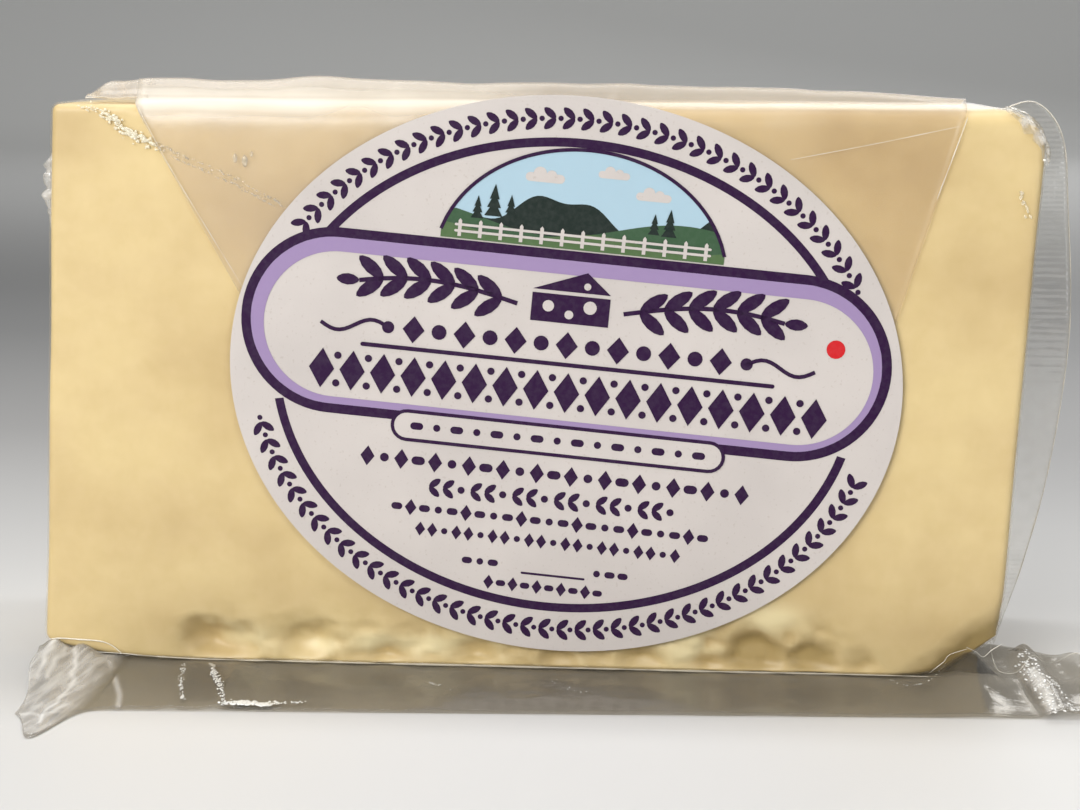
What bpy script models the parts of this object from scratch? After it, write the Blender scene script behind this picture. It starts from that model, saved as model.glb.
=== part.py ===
"""A vacuum-packed block of pale cheddar, standing on its long side, with an oval paper label on its front.

The clear pouch clings to the cheese, so the two are one solid: a slightly skewed block with a crumbled lower front
edge, the pouch's top folded over it, the flap that is tucked under the label, the sealed side edges and the bottom
end of the pouch, which is bent forward under the block as a skirt. The label is a solid of its own.

X runs along the block, -Y is its labelled front and Z is up. The origin is the middle of the base. Lengths are in
metres, and MM turns millimetres into metres.
"""

import math

import bmesh
import bpy
from mathutils import Matrix, Vector, noise

MM = 0.001

# The block of cheese
WIDTH = 111.1 * MM
HEIGHT = 65.0 * MM
DEPTH = 29.0 * MM
FRONT = -DEPTH / 2
LEAN = 0.045  # how far the top is pushed towards +X for each metre of height
EDGE_RADIUS = 1.0 * MM
WORN_CORNER = 5.0 * MM  # radius of the worn corner at the upper right
CHIP_WIDTH = 6.0 * MM  # the corner that has broken off at the lower right
CHIP_HEIGHT = 4.8 * MM
CORNER_LIFT = 2.2 * MM  # the lower left corner, which has crumbled away upwards
LIFT_START = -30.0 * MM
LIFT_POWER = 3.5
LIFT_HEIGHT = 12.0 * MM  # how far up the face the lift is still felt

# The crumbled lower edge of the front face
CRUMBLE_HEIGHT = 8.5 * MM
CRUMBLE_DEPTH = 0.9 * MM
CRUMBLE_REACH = 9.0 * MM  # how far back from the face it goes
CRUMBLE_GRAIN = 4.2 * MM
CRUMBLE_LIP = 1.4 * MM  # the film is taut along the very edge and keeps it straighter
LIP_SHARE = 0.4
DENTS = (  # x and z of the middle, half width, half height and depth, in millimetres
    (-35.5, 2.4, 5.6, 3.4, 1.8),
    (-24.5, 3.2, 3.6, 2.8, 1.2),
    (-15.0, 1.2, 3.0, 2.2, 0.8),
    (-5.0, 1.6, 3.2, 2.6, 1.1),
    (5.0, 1.0, 2.6, 2.2, 0.9),
    (14.5, 1.4, 3.0, 2.0, 0.8),
    (22.5, 1.0, 3.0, 2.2, 0.9),
    (31.0, 2.8, 6.4, 4.0, 2.0),
    (40.0, 1.4, 2.6, 2.4, 0.8),
    (51.5, 5.0, 5.0, 4.4, 1.4),
)

# The spacing of the grid that the block is shaped from
FACE_STEP = 1.9 * MM
FOOT_STEP = 1.5 * MM
FOOT_HEIGHT = 13.0 * MM
BASE_STEP = 2.4 * MM

# The film, drawn thicker than it is
FILM = 0.3 * MM
FILM_UNDER = 0.12 * MM  # how much of its thickness lies under the block

# The roll of film along the top, where the flap turns over
FOLD_ENDS = (-50.4 * MM, 48.3 * MM)
FOLD_TOPS = (67.4, 67.7, 67.6, 68.0, 67.6, 67.4, 67.5, 67.4, 67.2, 66.9, 66.5, 66.1)  # at even steps, in millimetres
FOLD_RADII = (1.6, 1.9, 2.0, 1.8, 1.8, 1.7, 1.6, 1.3)
FOLD_SLOPE = 3.0 * MM  # how long its left end takes to rise
FOLD_DROP = 1.5 * MM
FOLD_PINCH = 0.6
FOLD_PROUD = 0.45 * MM
FOLD_POINTS = 32

# The flap, and its ends at the top and at the foot that the label hides
FLAP_FOOT = 39.0 * MM
FLAP_TOP_ENDS = (-44.5 * MM, 48.1 * MM)
FLAP_FOOT_ENDS = (-30.2 * MM, 40.3 * MM)
FLAP_PROUD = 0.35 * MM
FLAP_BURIED = 1.2 * MM

# Outlines of the sealed side edges: x and z in millimetres, from top to bottom
RIGHT_SEAL = ((51.0, 63.0), (54.2, 64.7), (58.0, 65.5), (61.2, 61.8), (62.3, 54.0), (63.1, 39.0), (61.5, 22.0),
              (59.2, 10.8), (57.0, 3.6), (56.0, 0.2))
LEFT_SEAL = ((-53.0, 62.5), (-56.4, 60.6), (-58.9, 58.0), (-59.6, 55.0), (-59.3, 51.5), (-58.4, 48.6), (-56.4, 46.6),
             (-53.2, 45.0))
SEAL_ROOT = 9.0 * MM  # how far inside the block's sides the seals start
SEAL_WAVE = 0.5 * MM
SEAL_WAVE_LENGTH = 44.0 * MM

# The skirt under and in front of the block
SKIRT_ENDS = (-58.2 * MM, 71.0 * MM)
SKIRT_EDGE = -30.3 * MM  # y of its front edge at the middle
SKIRT_SKEW = 0.05  # its edge nears the block towards +X
SKIRT_SLANT = 4.0 * MM  # how far its left end turns towards +X on the way forward
SLANT_START = -44.0 * MM
SKIRT_BACK = 13.2 * MM
LEFT_TURN = (48.0 * MM, 52.0 * MM)  # where its back edge comes forward beside the block, as distances from x = 0
LEFT_BACK = -11.5 * MM
RIGHT_TURN = (46.0 * MM, 53.0 * MM)
RIGHT_BACK = (0.8 * MM, -8.2 * MM)  # at the block and at the skirt's right end
RIGHT_ROUNDING = 6.0 * MM
TONGUE_X = -53.2 * MM  # the loose tongue of film at its left end
TONGUE_WIDTH = 3.6 * MM
TONGUE_LENGTH = 9.2 * MM
RIDGES = (  # x, height and half width of the creases that run to the front edge, in millimetres
    (-38.0, 0.5, 1.0),
    (-33.0, 0.7, 1.2),
    (58.6, 1.8, 1.5),
    (64.5, 0.9, 1.6),
)
RIDGE_RISE = 3.5 * MM  # how long a crease takes to reach its height
RIGHT_RIDGE_START = -2.0 * MM
RIDGE_FADE = (20.0 * MM, 28.0 * MM)  # where it gets lower again, as distances in front of y = 0
RIDGE_LEFT = 0.4  # how much of its height is left at the skirt's edge
LEFT_TENT = 2.3 * MM  # the pleated film that rises to the lower left corner
LEFT_TENT_SIDE = (46.0 * MM, 55.0 * MM)
LEFT_TENT_BACK = (8.0 * MM, 12.0 * MM)
PLEATS = 13  # for each radian around that corner
PLEAT_SHARE = 0.2
RIGHT_TENT = 3.6 * MM  # the fold over the chipped corner
RIGHT_TENT_X = 50.6 * MM
RIGHT_TENT_WIDTH = 3.0 * MM
RIGHT_TENT_BACK = (11.5 * MM, 15.5 * MM)
END_RISE = 0.8 * MM  # the right end curls up a little
END_RISE_SIDE = (57.0 * MM, 64.0 * MM)
END_RISE_FRONT = (12.0 * MM, 22.0 * MM)
PLEAT_STEP = 1.3 * MM
SKIRT_STEP = 3.2 * MM
SKIRT_ROWS = 6

# The oval label
LABEL_WIDTH = 76.2 * MM
LABEL_HEIGHT = 63.5 * MM
LABEL_THICKNESS = 0.25 * MM
LABEL_MIDDLE = (4.0 * MM, 34.5 * MM)
LABEL_TILT = math.radians(5.15)  # its right end is the lower one
LABEL_GAP = 0.3 * MM  # from the fold, which it stands in front of
LABEL_SIDES = 96

# Colours as linear RGB
CHEESE_COLOUR = (0.78, 0.60, 0.30)
PAPER_COLOUR = (0.78, 0.74, 0.74)
SMOOTH_ANGLE = math.radians(40)


def mix(start, end, share):
    """The value that lies the given share of the way from start to end."""
    return start + (end - start) * share


def smooth_step(value, low, high):
    """0 below low, 1 above high, with an even curve between them."""
    share = min(1.0, max(0.0, (value - low) / (high - low)))
    return share * share * (3 - 2 * share)


def bump(value, middle, half_width):
    """A rounded bump of height 1 at its middle."""
    return math.exp(-(((value - middle) / half_width) ** 2))


def steps_between(low, high, step):
    """Even steps of about the given size, without the two ends."""
    count = max(1, round((high - low) / step))
    return [mix(low, high, i / count) for i in range(1, count)]


def smooth_path(points, share):
    """A point on the smooth curve through the given points, share running from 0 to 1."""
    last = len(points) - 1
    place = min(share * last, last - 1e-9)
    i = int(place)
    t = place - i
    before, start, end, after = (Vector(points[min(last, max(0, i + k))]) for k in (-1, 0, 1, 2))
    pull = (end - before) * t + (2 * before - 5 * start + 4 * end - after) * t**2
    return start + 0.5 * (pull + (3 * (start - end) + after - before) * t**3)


def smooth_value(values, share):
    """The same for a list of single values."""
    return smooth_path([(value, 0.0) for value in values], share).x


def clear_scene():
    for obj in list(bpy.data.objects):
        bpy.data.objects.remove(obj)


def new_collection(name):
    collection = bpy.data.collections.new(name)
    bpy.context.scene.collection.children.link(collection)
    return collection


def principled(name, colour, roughness, coat=0.0):
    material = bpy.data.materials.new(name)
    material.use_nodes = True
    shader = material.node_tree.nodes["Principled BSDF"]
    shader.inputs["Base Color"].default_value = (*colour, 1.0)
    shader.inputs["Roughness"].default_value = roughness
    shader.inputs["Metallic"].default_value = 0.0
    shader.inputs["Coat Weight"].default_value = coat
    return material


def finish(obj, material):
    """Gives a finished piece its material and smooth shading."""
    obj.data.materials.append(material)
    obj.data.shade_smooth()
    obj.data.set_sharp_from_angle(angle=SMOOTH_ANGLE)


def object_from(name, bm, collection):
    mesh = bpy.data.meshes.new(name)
    bm.to_mesh(mesh)
    bm.free()
    obj = bpy.data.objects.new(name, mesh)
    collection.objects.link(obj)
    return obj


def evaluated_mesh(obj):
    """The object's mesh with its modifiers or its curve's bevel applied."""
    bpy.context.view_layer.update()
    graph = bpy.context.evaluated_depsgraph_get()
    return bpy.data.meshes.new_from_object(obj.evaluated_get(graph))


def round_edges(point, half, radius):
    """Moves a point of a sharp box onto the same box with rounded edges."""
    inner = Vector([max(-h + radius, min(h - radius, c)) for c, h in zip(point, half)])
    out = point - inner
    return inner + out.normalized() * radius if out.length > 0 else point


def wear_corners(point):
    """Rounds the upper right corner of the face and breaks off the lower right one."""
    x, z = point.x, point.z
    middle_x, middle_z = WIDTH / 2 - WORN_CORNER, HEIGHT - WORN_CORNER
    along, up = (x - middle_x) / WORN_CORNER, (z - middle_z) / WORN_CORNER
    if along > 0 and up > 0:
        shrink = max(along, up) / math.hypot(along, up)
        x, z = middle_x + along * shrink * WORN_CORNER, middle_z + up * shrink * WORN_CORNER
    middle_x, middle_z = WIDTH / 2 - CHIP_WIDTH, CHIP_HEIGHT
    along, down = (x - middle_x) / CHIP_WIDTH, (middle_z - z) / CHIP_HEIGHT
    if along > 0 and down > 0:
        shrink = max(along, down) / (along + down)
        x, z = middle_x + along * shrink * CHIP_WIDTH, middle_z - down * shrink * CHIP_HEIGHT
    return Vector((x, point.y, z))


def crumble(x, z):
    """How far the lower front edge has crumbled away at a place on the face."""
    grain = noise.fractal(Vector((x, 0.0, z)) / CRUMBLE_GRAIN, 0.8, 2.2, 3)
    band = 1 - smooth_step(z, 0.25 * CRUMBLE_HEIGHT, CRUMBLE_HEIGHT)
    depth = CRUMBLE_DEPTH * band * max(0.0, 0.35 + 0.9 * grain)
    for middle_x, middle_z, half_width, half_height, deep in DENTS:
        away = math.hypot((x / MM - middle_x) / half_width, (z / MM - middle_z) / half_height)
        depth += deep * MM * (1 - smooth_step(away + 0.35 * grain, 0.4, 1.0))
    return depth * mix(LIP_SHARE, 1.0, smooth_step(z, 0, CRUMBLE_LIP))


def block_surface(point):
    """Moves a point of the sharp box, whose base is centred on the origin, onto the block's true surface."""
    half = Vector((WIDTH, DEPTH, HEIGHT)) / 2
    centred = round_edges(point - Vector((0, 0, half.z)), half, EDGE_RADIUS)
    worn = wear_corners(centred + Vector((0, 0, half.z)))
    nearness = 1 - smooth_step(worn.y, FRONT + EDGE_RADIUS, FRONT + CRUMBLE_REACH)
    lift = CORNER_LIFT * max(0.0, (worn.x - LIFT_START) / (-WIDTH / 2 - LIFT_START)) ** LIFT_POWER
    moved = Vector(worn)
    moved.x += LEAN * (worn.z - half.z)
    moved.y += crumble(worn.x, worn.z) * nearness
    moved.z += FILM_UNDER + lift * (1 - smooth_step(worn.z, 0, LIFT_HEIGHT))
    return moved


def make_block(collection):
    """The cheese: a cube cut into a grid that is finest along the crumbled edge, then shaped point by point."""
    bm = bmesh.new()
    size = Matrix.Diagonal((WIDTH, DEPTH, HEIGHT, 1.0))
    bmesh.ops.create_cube(bm, size=1.0, matrix=Matrix.Translation((0, 0, HEIGHT / 2)) @ size)
    rims = (WIDTH / 2, DEPTH / 2, HEIGHT / 2)
    near_edge = (0.3 * EDGE_RADIUS, EDGE_RADIUS)
    cuts = [[side * (rim - near) for side in (-1, 1) for near in near_edge] for rim in rims]
    cuts[0] += steps_between(-WIDTH / 2 + EDGE_RADIUS, WIDTH / 2 - EDGE_RADIUS, FACE_STEP)
    cuts[1] += steps_between(FRONT + EDGE_RADIUS, FRONT + CRUMBLE_REACH + BASE_STEP, BASE_STEP)
    cuts[2] += [z - HEIGHT / 2 for z in steps_between(EDGE_RADIUS, FOOT_HEIGHT, FOOT_STEP)]
    cuts[2] += [HEIGHT / 2 - WORN_CORNER * share for share in (1.0, 0.7, 0.45)]
    for axis, places in enumerate(cuts):
        normal = Vector([1.0 if i == axis else 0.0 for i in range(3)])
        for place in places:
            at = normal * place + Vector((0, 0, HEIGHT / 2))
            everything = bm.verts[:] + bm.edges[:] + bm.faces[:]
            bmesh.ops.bisect_plane(bm, geom=everything, dist=1e-7, plane_co=at, plane_no=normal)
    for vertex in bm.verts:
        vertex.co = block_surface(vertex.co)
    return object_from("cheese", bm, collection)


def film_sheet(name, surface, columns, rows, thickness, offset, collection):
    """A sheet of film: surface gives its points for two shares from 0 to 1, and Solidify gives its thickness."""
    bm = bmesh.new()
    bmesh.ops.create_grid(bm, x_segments=columns, y_segments=rows, size=0.5)
    for vertex in bm.verts:
        vertex.co = surface(0.5 + vertex.co.x, 0.5 - vertex.co.y)
    sheet = object_from(name, bm, collection)
    solidify = sheet.modifiers.new("thickness", "SOLIDIFY")
    solidify.thickness = thickness
    solidify.offset = offset
    solidify.use_even_offset = False
    return sheet


def make_side_seal(name, outline, side, collection):
    """One sealed side edge of the pouch, from its free outline to a root inside the block."""
    root_x = side * (WIDTH / 2 - SEAL_ROOT)

    def surface(along, inwards):
        edge = smooth_path(outline, along) * MM
        root_z = min(HEIGHT - SEAL_ROOT, max(SEAL_ROOT, edge.y))
        wave = SEAL_WAVE * math.sin(2 * math.pi * edge.y / SEAL_WAVE_LENGTH)
        return Vector((mix(edge.x, root_x, inwards), mix(wave, 0, inwards), mix(edge.y, root_z, inwards)))

    return film_sheet(name, surface, 3 * (len(outline) - 1), 3, FILM, 0.0, collection)


def skirt_front(x):
    """y of the skirt's free edge, with the tongue of film at its left end."""
    tongue = TONGUE_LENGTH * bump(x, TONGUE_X, TONGUE_WIDTH)
    corner = SKIRT_SLANT * smooth_step(x, SKIRT_ENDS[1] - RIGHT_ROUNDING, SKIRT_ENDS[1])
    return SKIRT_EDGE + SKIRT_SKEW * x - tongue + corner


def skirt_back(x):
    """y of the skirt's hidden edge: under the block's back, or nearer where the film shows beside the block."""
    beside_right = mix(*RIGHT_BACK, smooth_step(x, RIGHT_TURN[1], SKIRT_ENDS[1]))
    back = mix(SKIRT_BACK, beside_right, smooth_step(x, *RIGHT_TURN))
    return mix(back, LEFT_BACK, smooth_step(-x, *LEFT_TURN))


def skirt_height(x, y):
    """How far the film stands off the floor: flat under the block, creased in front, raised at both corners."""
    ridge_start = FRONT if x < RIGHT_TENT_X else RIGHT_RIDGE_START
    ridge_share = smooth_step(ridge_start - y, 0, RIDGE_RISE) * mix(1.0, RIDGE_LEFT, smooth_step(-y, *RIDGE_FADE))
    ridges = sum(tall * MM * bump(x, at * MM, half * MM) for at, tall, half in RIDGES) * ridge_share
    down = 1 - smooth_step(-y, -FRONT - 1 * MM, -SKIRT_EDGE - 1 * MM)
    left = smooth_step(-x, *LEFT_TENT_SIDE) * smooth_step(-y, *LEFT_TENT_BACK)
    left *= 1 - 0.6 * smooth_step(-x, LEFT_TENT_SIDE[1] + 1 * MM, -SKIRT_ENDS[0])
    around = math.atan2(x + WIDTH / 2, -y - LEFT_TENT_BACK[0])
    left *= 1 - PLEAT_SHARE + PLEAT_SHARE * math.cos(PLEATS * around)
    right = bump(x, RIGHT_TENT_X, RIGHT_TENT_WIDTH) * smooth_step(-y, *RIGHT_TENT_BACK)
    end = smooth_step(x, *END_RISE_SIDE) * smooth_step(-y, *END_RISE_FRONT)
    return ridges + (LEFT_TENT * left + RIGHT_TENT * right) * down + END_RISE * end


def make_skirt(collection):
    """The bottom end of the pouch, which runs forward from under the block."""
    ridge_columns = [(at + side * half) * MM for at, _, half in RIDGES for side in (-1, 0, 1)]
    plain_columns = steps_between(SLANT_START, SKIRT_ENDS[1], SKIRT_STEP)
    kept = [x for x in plain_columns if min(abs(x - other) for other in ridge_columns) > SKIRT_STEP / 3]
    pleat_columns = steps_between(SKIRT_ENDS[0], SLANT_START, PLEAT_STEP)
    columns = sorted([*SKIRT_ENDS, *pleat_columns, *kept, *ridge_columns])

    def surface(along, forward):
        start_x = columns[round(along * (len(columns) - 1))]
        back = skirt_back(start_x)
        face = min(back, FRONT) - FILM
        row = forward * SKIRT_ROWS
        y = mix(back, face, row) if row < 1 else mix(face, skirt_front(start_x), (row - 1) / (SKIRT_ROWS - 1))
        slant = smooth_step(-start_x, -SLANT_START, -SKIRT_ENDS[0]) * smooth_step(forward, 0, 1)
        x = start_x + SKIRT_SLANT * slant
        return Vector((x, y, FILM + skirt_height(x, y)))

    return film_sheet("skirt", surface, len(columns) - 1, SKIRT_ROWS, FILM, -1.0, collection)


def fold_section(x):
    """Height of the folded top and its radius at a place along the block."""
    share = min(1.0, max(0.0, (x - FOLD_ENDS[0]) / (FOLD_ENDS[1] - FOLD_ENDS[0])))
    low = 1 - smooth_step(x, FOLD_ENDS[0], FOLD_ENDS[0] + FOLD_SLOPE)
    top = smooth_value(FOLD_TOPS, share) * MM - FOLD_DROP * low
    return top, smooth_value(FOLD_RADII, share) * MM * (1 - FOLD_PINCH * low)


def make_flap(collection):
    """The pouch's top end, folded down over the face and held by the label."""

    def surface(across, down):
        start, end = (mix(top, foot, down) for top, foot in zip(FLAP_TOP_ENDS, FLAP_FOOT_ENDS))
        top, radius = fold_section(mix(*FLAP_TOP_ENDS, across))
        return Vector((mix(start, end, across), FRONT - FLAP_PROUD, mix(top - radius, FLAP_FOOT, down)))

    return film_sheet("flap", surface, 8, 1, FLAP_PROUD + FLAP_BURIED, -1.0, collection)


def make_fold(collection):
    """The roll of film along the top: a curve whose bevel follows the fold's own radius, made a mesh."""
    curve = bpy.data.curves.new("fold", "CURVE")
    curve.dimensions = "3D"
    curve.bevel_depth = 1.0
    curve.bevel_resolution = 4
    curve.use_fill_caps = True
    spline = curve.splines.new("POLY")
    spline.points.add(FOLD_POINTS - 1)
    for i, point in enumerate(spline.points):
        x = mix(*FOLD_ENDS, i / (FOLD_POINTS - 1))
        top, radius = fold_section(x)
        point.co = (x, FRONT - FOLD_PROUD + radius, top - radius, 1.0)
        point.radius = radius
    guide = bpy.data.objects.new("fold_curve", curve)
    collection.objects.link(guide)
    bm = bmesh.new()
    bm.from_mesh(evaluated_mesh(guide))
    bmesh.ops.remove_doubles(bm, verts=bm.verts[:], dist=1e-6)
    fold = object_from("fold", bm, collection)
    fold.matrix_world = guide.matrix_world
    bpy.data.objects.remove(guide)
    return fold


def join(name, body, films):
    """Makes one solid of the body and all the films that touch it."""
    union = body.modifiers.new("films", "BOOLEAN")
    union.operation = "UNION"
    union.operand_type = "COLLECTION"
    union.collection = films
    union.solver = "EXACT"
    union.use_self = True
    body.data = evaluated_mesh(body)
    body.modifiers.clear()
    body.name = body.data.name = name
    for film in list(films.objects):
        bpy.data.objects.remove(film)
    bpy.data.collections.remove(films)
    return body


def make_pouch(collection):
    """The cheese and everything of the pouch that stands off it, as one solid."""
    films = new_collection("films")
    block = make_block(collection)
    make_skirt(films)
    make_side_seal("right_seal", RIGHT_SEAL, 1, films)
    make_side_seal("left_seal", LEFT_SEAL, -1, films)
    make_flap(films)
    make_fold(films)
    pouch = join("pouch_with_cheddar", block, films)
    finish(pouch, principled("wrapped_cheddar", CHEESE_COLOUR, 0.35, coat=0.8))
    return pouch


def make_label(collection):
    """The oval label: a flat disc, stretched, tilted and set just clear of the fold behind it."""
    bm = bmesh.new()
    bmesh.ops.create_cone(
        bm, cap_ends=True, segments=LABEL_SIDES, radius1=0.5, radius2=0.5, depth=LABEL_THICKNESS
    )
    bmesh.ops.scale(bm, vec=(LABEL_WIDTH, LABEL_HEIGHT, 1.0), verts=bm.verts[:])
    label = object_from("paper_label", bm, collection)
    back = FRONT - FOLD_PROUD - LABEL_GAP
    label.location = (LABEL_MIDDLE[0], back - LABEL_THICKNESS / 2, LABEL_MIDDLE[1])
    label.rotation_euler = (math.radians(90), LABEL_TILT, 0)
    finish(label, principled("label_paper", PAPER_COLOUR, 0.5))
    return label


def main():
    clear_scene()
    parts = new_collection("packed_cheddar_block")
    make_pouch(parts)
    make_label(parts)


main()
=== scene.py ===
"""The looks of the vacuum-packed cheddar block: the cheese, its clear pouch and the printed label.

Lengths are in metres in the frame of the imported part: X along the block, -Y out of its labelled front, Z up.
MM turns millimetres into metres.
"""

import math
import random

import bmesh
import bpy
from mathutils import Matrix, Vector, noise


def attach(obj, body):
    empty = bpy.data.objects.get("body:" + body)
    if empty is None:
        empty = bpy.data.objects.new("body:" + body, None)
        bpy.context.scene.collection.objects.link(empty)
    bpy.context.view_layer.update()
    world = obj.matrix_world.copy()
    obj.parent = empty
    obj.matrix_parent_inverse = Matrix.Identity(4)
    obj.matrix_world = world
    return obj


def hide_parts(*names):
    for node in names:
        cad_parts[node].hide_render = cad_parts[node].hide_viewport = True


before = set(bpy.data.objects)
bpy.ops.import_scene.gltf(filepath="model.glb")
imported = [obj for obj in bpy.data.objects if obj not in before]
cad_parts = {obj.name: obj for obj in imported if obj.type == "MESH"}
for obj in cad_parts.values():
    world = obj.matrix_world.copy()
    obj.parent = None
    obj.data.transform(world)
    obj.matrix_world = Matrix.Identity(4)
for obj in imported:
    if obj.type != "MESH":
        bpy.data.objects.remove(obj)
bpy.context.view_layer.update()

MM = 0.001
ROOT = "root"
CAD_POUCH = "pouch_with_cheddar"
CAD_LABEL = "paper_label"
UP = Vector((0.0, 0.0, 1.0))
OUT_OF_FACE = Vector((0.0, -1.0, 0.0))

# The block of cheese, as in the part, but with its widest dent drawn as two
WIDTH = 111.1 * MM
HEIGHT = 65.0 * MM
DEPTH = 29.0 * MM
FRONT = -DEPTH / 2
LEAN = 0.045
EDGE_RADIUS = 1.0 * MM
WORN_CORNER = 5.0 * MM
CHIP_WIDTH = 6.0 * MM
CHIP_HEIGHT = 4.8 * MM
CORNER_LIFT = 2.2 * MM
LIFT_START = -30.0 * MM
LIFT_POWER = 3.5
LIFT_HEIGHT = 12.0 * MM
CRUMBLE_HEIGHT = 8.5 * MM
CRUMBLE_DEPTH = 0.9 * MM
CRUMBLE_REACH = 9.0 * MM
CRUMBLE_GRAIN = 4.2 * MM
CRUMBLE_LIP = 1.4 * MM
LIP_SHARE = 0.4
DENTS = (  # x and z of the middle, half width, half height and depth, in millimetres
    (-35.5, 2.4, 5.6, 3.4, 1.8),
    (-24.5, 3.2, 3.6, 2.8, 1.2),
    (-15.0, 1.2, 3.0, 2.2, 0.8),
    (-5.0, 1.6, 3.2, 2.6, 1.1),
    (5.0, 1.0, 2.6, 2.2, 0.9),
    (14.5, 1.4, 3.0, 2.0, 0.8),
    (22.5, 1.0, 3.0, 2.2, 0.9),
    (27.8, 2.2, 4.2, 4.1, 1.5),
    (34.6, 1.6, 3.8, 3.2, 1.2),
    (40.0, 1.4, 2.6, 2.4, 0.8),
)

# Places where the broken curd gets a painted highlight: x and z of the middle, half width and half height, in
# millimetres
PAINTED_HIGHLIGHT_LUMPS = (
    (-32.7, 3.1, 3.8, 1.6),
    (-23.0, 2.3, 2.2, 1.0),
    (-16.7, 2.9, 2.4, 1.2),
    (-9.8, 2.7, 4.6, 1.3),
    (20.2, 3.1, 3.4, 2.4),
    (29.4, 6.8, 3.6, 1.9),
)

# Colours of the cheese: its broad patches from pale to dark, the painted shade in its hollows and the painted
# highlight on its lumps
CHEESE_COLOURS = ((0.745, 0.59, 0.305), (0.685, 0.53, 0.27), (0.60, 0.45, 0.22))
PAINTED_SHADE_COLOUR = (0.43, 0.31, 0.12, 1.0)
PAINTED_HIGHLIGHT_COLOUR = (0.93, 0.81, 0.49, 1.0)
PATCH_SIZE = 15 * MM
CURD_SIZE = 2.2 * MM
PORE_SIZE = 0.8 * MM
PORE_DEPTH = 0.05 * MM

# What only the looks have: a bevel over the chipped corner, curds in the crumbled parts, a face that isn't
# quite flat, and a skin of film
CHEESE_STEP = 0.6 * MM
CHEESE_FOOT_STEP = 0.38 * MM
SKIN_STEP = 0.9 * MM
SKIN_FOOT_STEP = 0.5 * MM
CHIP_BEVEL = 2.0 * MM
CHIP_BEVEL_WIDTH = 4.4 * MM
LUMP_SIZE = 3.0 * MM
LUMP_DEPTH = 0.65 * MM
CRUMB_SIZE = 1.2 * MM
CRUMB_DEPTH = 0.2 * MM
CURD_MEAN = 0.42  # the mean distance to the middle of a curd, as a share of its size
PAINTED_SHADE_STRENGTH = (0.2, 1.4)  # how strongly painted shade darkens deep places at the left and at the right
# limits of the painted shading, from painted highlight to painted shade
PAINTED_SHADING_LIMITS = (-0.8, 0.85)
CRUMBLED_SPAN = ((-41 * MM, -37 * MM), (36 * MM, 40 * MM))
TOP_ROUNDING = 2.4 * MM
TOP_ROUNDING_START = (-49 * MM, -43 * MM)
SWELL_SIZE = 15 * MM
SWELL_DEPTH = 0.22 * MM
BASE_GAP = 0.3 * MM
SKIN_GAP = 0.16 * MM
CREASE_SIZE = 3.2 * MM
CREASE_DEPTH = 0.05 * MM
CREASED_CORNERS = ((-54, 64, 13), (55, 61, 14), (-54, 3, 16), (54, 6, 12))  # x, z and reach, in millimetres
CREASE_FAN = 14

# The kinds of film: tint, gloss, glance, roughness, wrinkle, emboss, milk and the milk's colour, milk also
# standing for painted highlights
GREY_MILK_AND_HIGHLIGHT = (0.8, 0.78, 0.75)
FILMS = {
    "skin": ((1.0, 0.995, 0.985), 0.02, 0.45, 0.38, 0.25, 0.0, 0.0, GREY_MILK_AND_HIGHLIGHT),
    # the skirt's films are tinted darker than clear film, a painted shade in front of and under the block
    "skirt": ((0.94, 0.93, 0.91), 0.03, 0.10, 0.10, 0.4, 0.5, 0.0, (0.88, 0.87, 0.85)),
    "skirt_under_shade_tinted": ((0.84, 0.825, 0.795), 0.03, 0.10, 0.12, 0.4, 0.0, 0.0, GREY_MILK_AND_HIGHLIGHT),
    "flap": ((0.965, 0.942, 0.915), 0.04, 0.3, 0.38, 0.3, 0.0, 0.0, (0.93, 0.885, 0.79)),
    "seal": ((0.97, 0.965, 0.95), 0.06, 0.5, 0.12, 0.3, 0.3, 0.0, GREY_MILK_AND_HIGHLIGHT),
    # edge: white film for the cut edges and for the lines painted bright as highlights
    "edge": ((0.98, 0.97, 0.95), 0.05, 0.4, 0.15, 0.2, 0.0, 0.6, (0.95, 0.92, 0.84)),
    "seam": ((0.99, 0.98, 0.95), 0.06, 0.4, 0.15, 0.3, 0.0, 0.0, (0.99, 0.92, 0.72)),
    # film for the embossed dots, nearly white: a painted glint
    "painted_glint": ((0.98, 0.98, 0.97), 0.15, 0.5, 0.2, 0.2, 0.0, 0.85, (0.98, 0.98, 0.96)),
}
WRINKLE_SIZE = 4 * MM
WRINKLE_DEPTH = 0.5 * MM
EMBOSS_PITCH = 0.62 * MM
EMBOSS_DEPTH = 0.05 * MM

# The film that stands off the cheese, its rows of plain numbers in millimetres
FILM = 0.12 * MM
THIN_FILM = 0.6 * FILM
FOLD_ENDS = (-50.4 * MM, 48.3 * MM)
FOLD_TOPS = (67.4, 67.7, 67.6, 68.0, 67.6, 67.4, 67.5, 67.4, 67.2, 66.9, 66.5, 66.1)
FOLD_RADII = (1.6, 1.9, 2.0, 1.8, 1.8, 1.7, 1.6, 1.3)
FOLD_SLOPE = 3.0 * MM
FOLD_DROP = 1.5 * MM
FOLD_PINCH = 0.6
FOLD_SHARE = 0.66  # the part of the flap's rows that forms the fold, above its straight run down the face
TUCK_SHARE = 0.42
FLAP_TOP_ENDS = (-44.5 * MM, 48.1 * MM)
FLAP_FOOT_ENDS = (-30.2 * MM, 40.3 * MM)
FLAP_FOOT = 37.5 * MM
FLAP_PROUD = 0.3 * MM
FLAP_NARROWED = 39.0 * MM  # the height where its sides have come in to their foot ends
FLAP_GRID = (110, 80)
TUCK_GRID = (14, 26)
CRUMPLE_GRID = (64, 34)
RIGHT_SEAL = ((51.0, 63.0), (54.2, 64.7), (58.0, 65.5), (61.2, 61.8), (62.3, 54.0), (63.1, 39.0),
              (61.5, 22.0), (59.2, 10.8), (57.0, 3.6), (56.0, 0.2))
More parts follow.
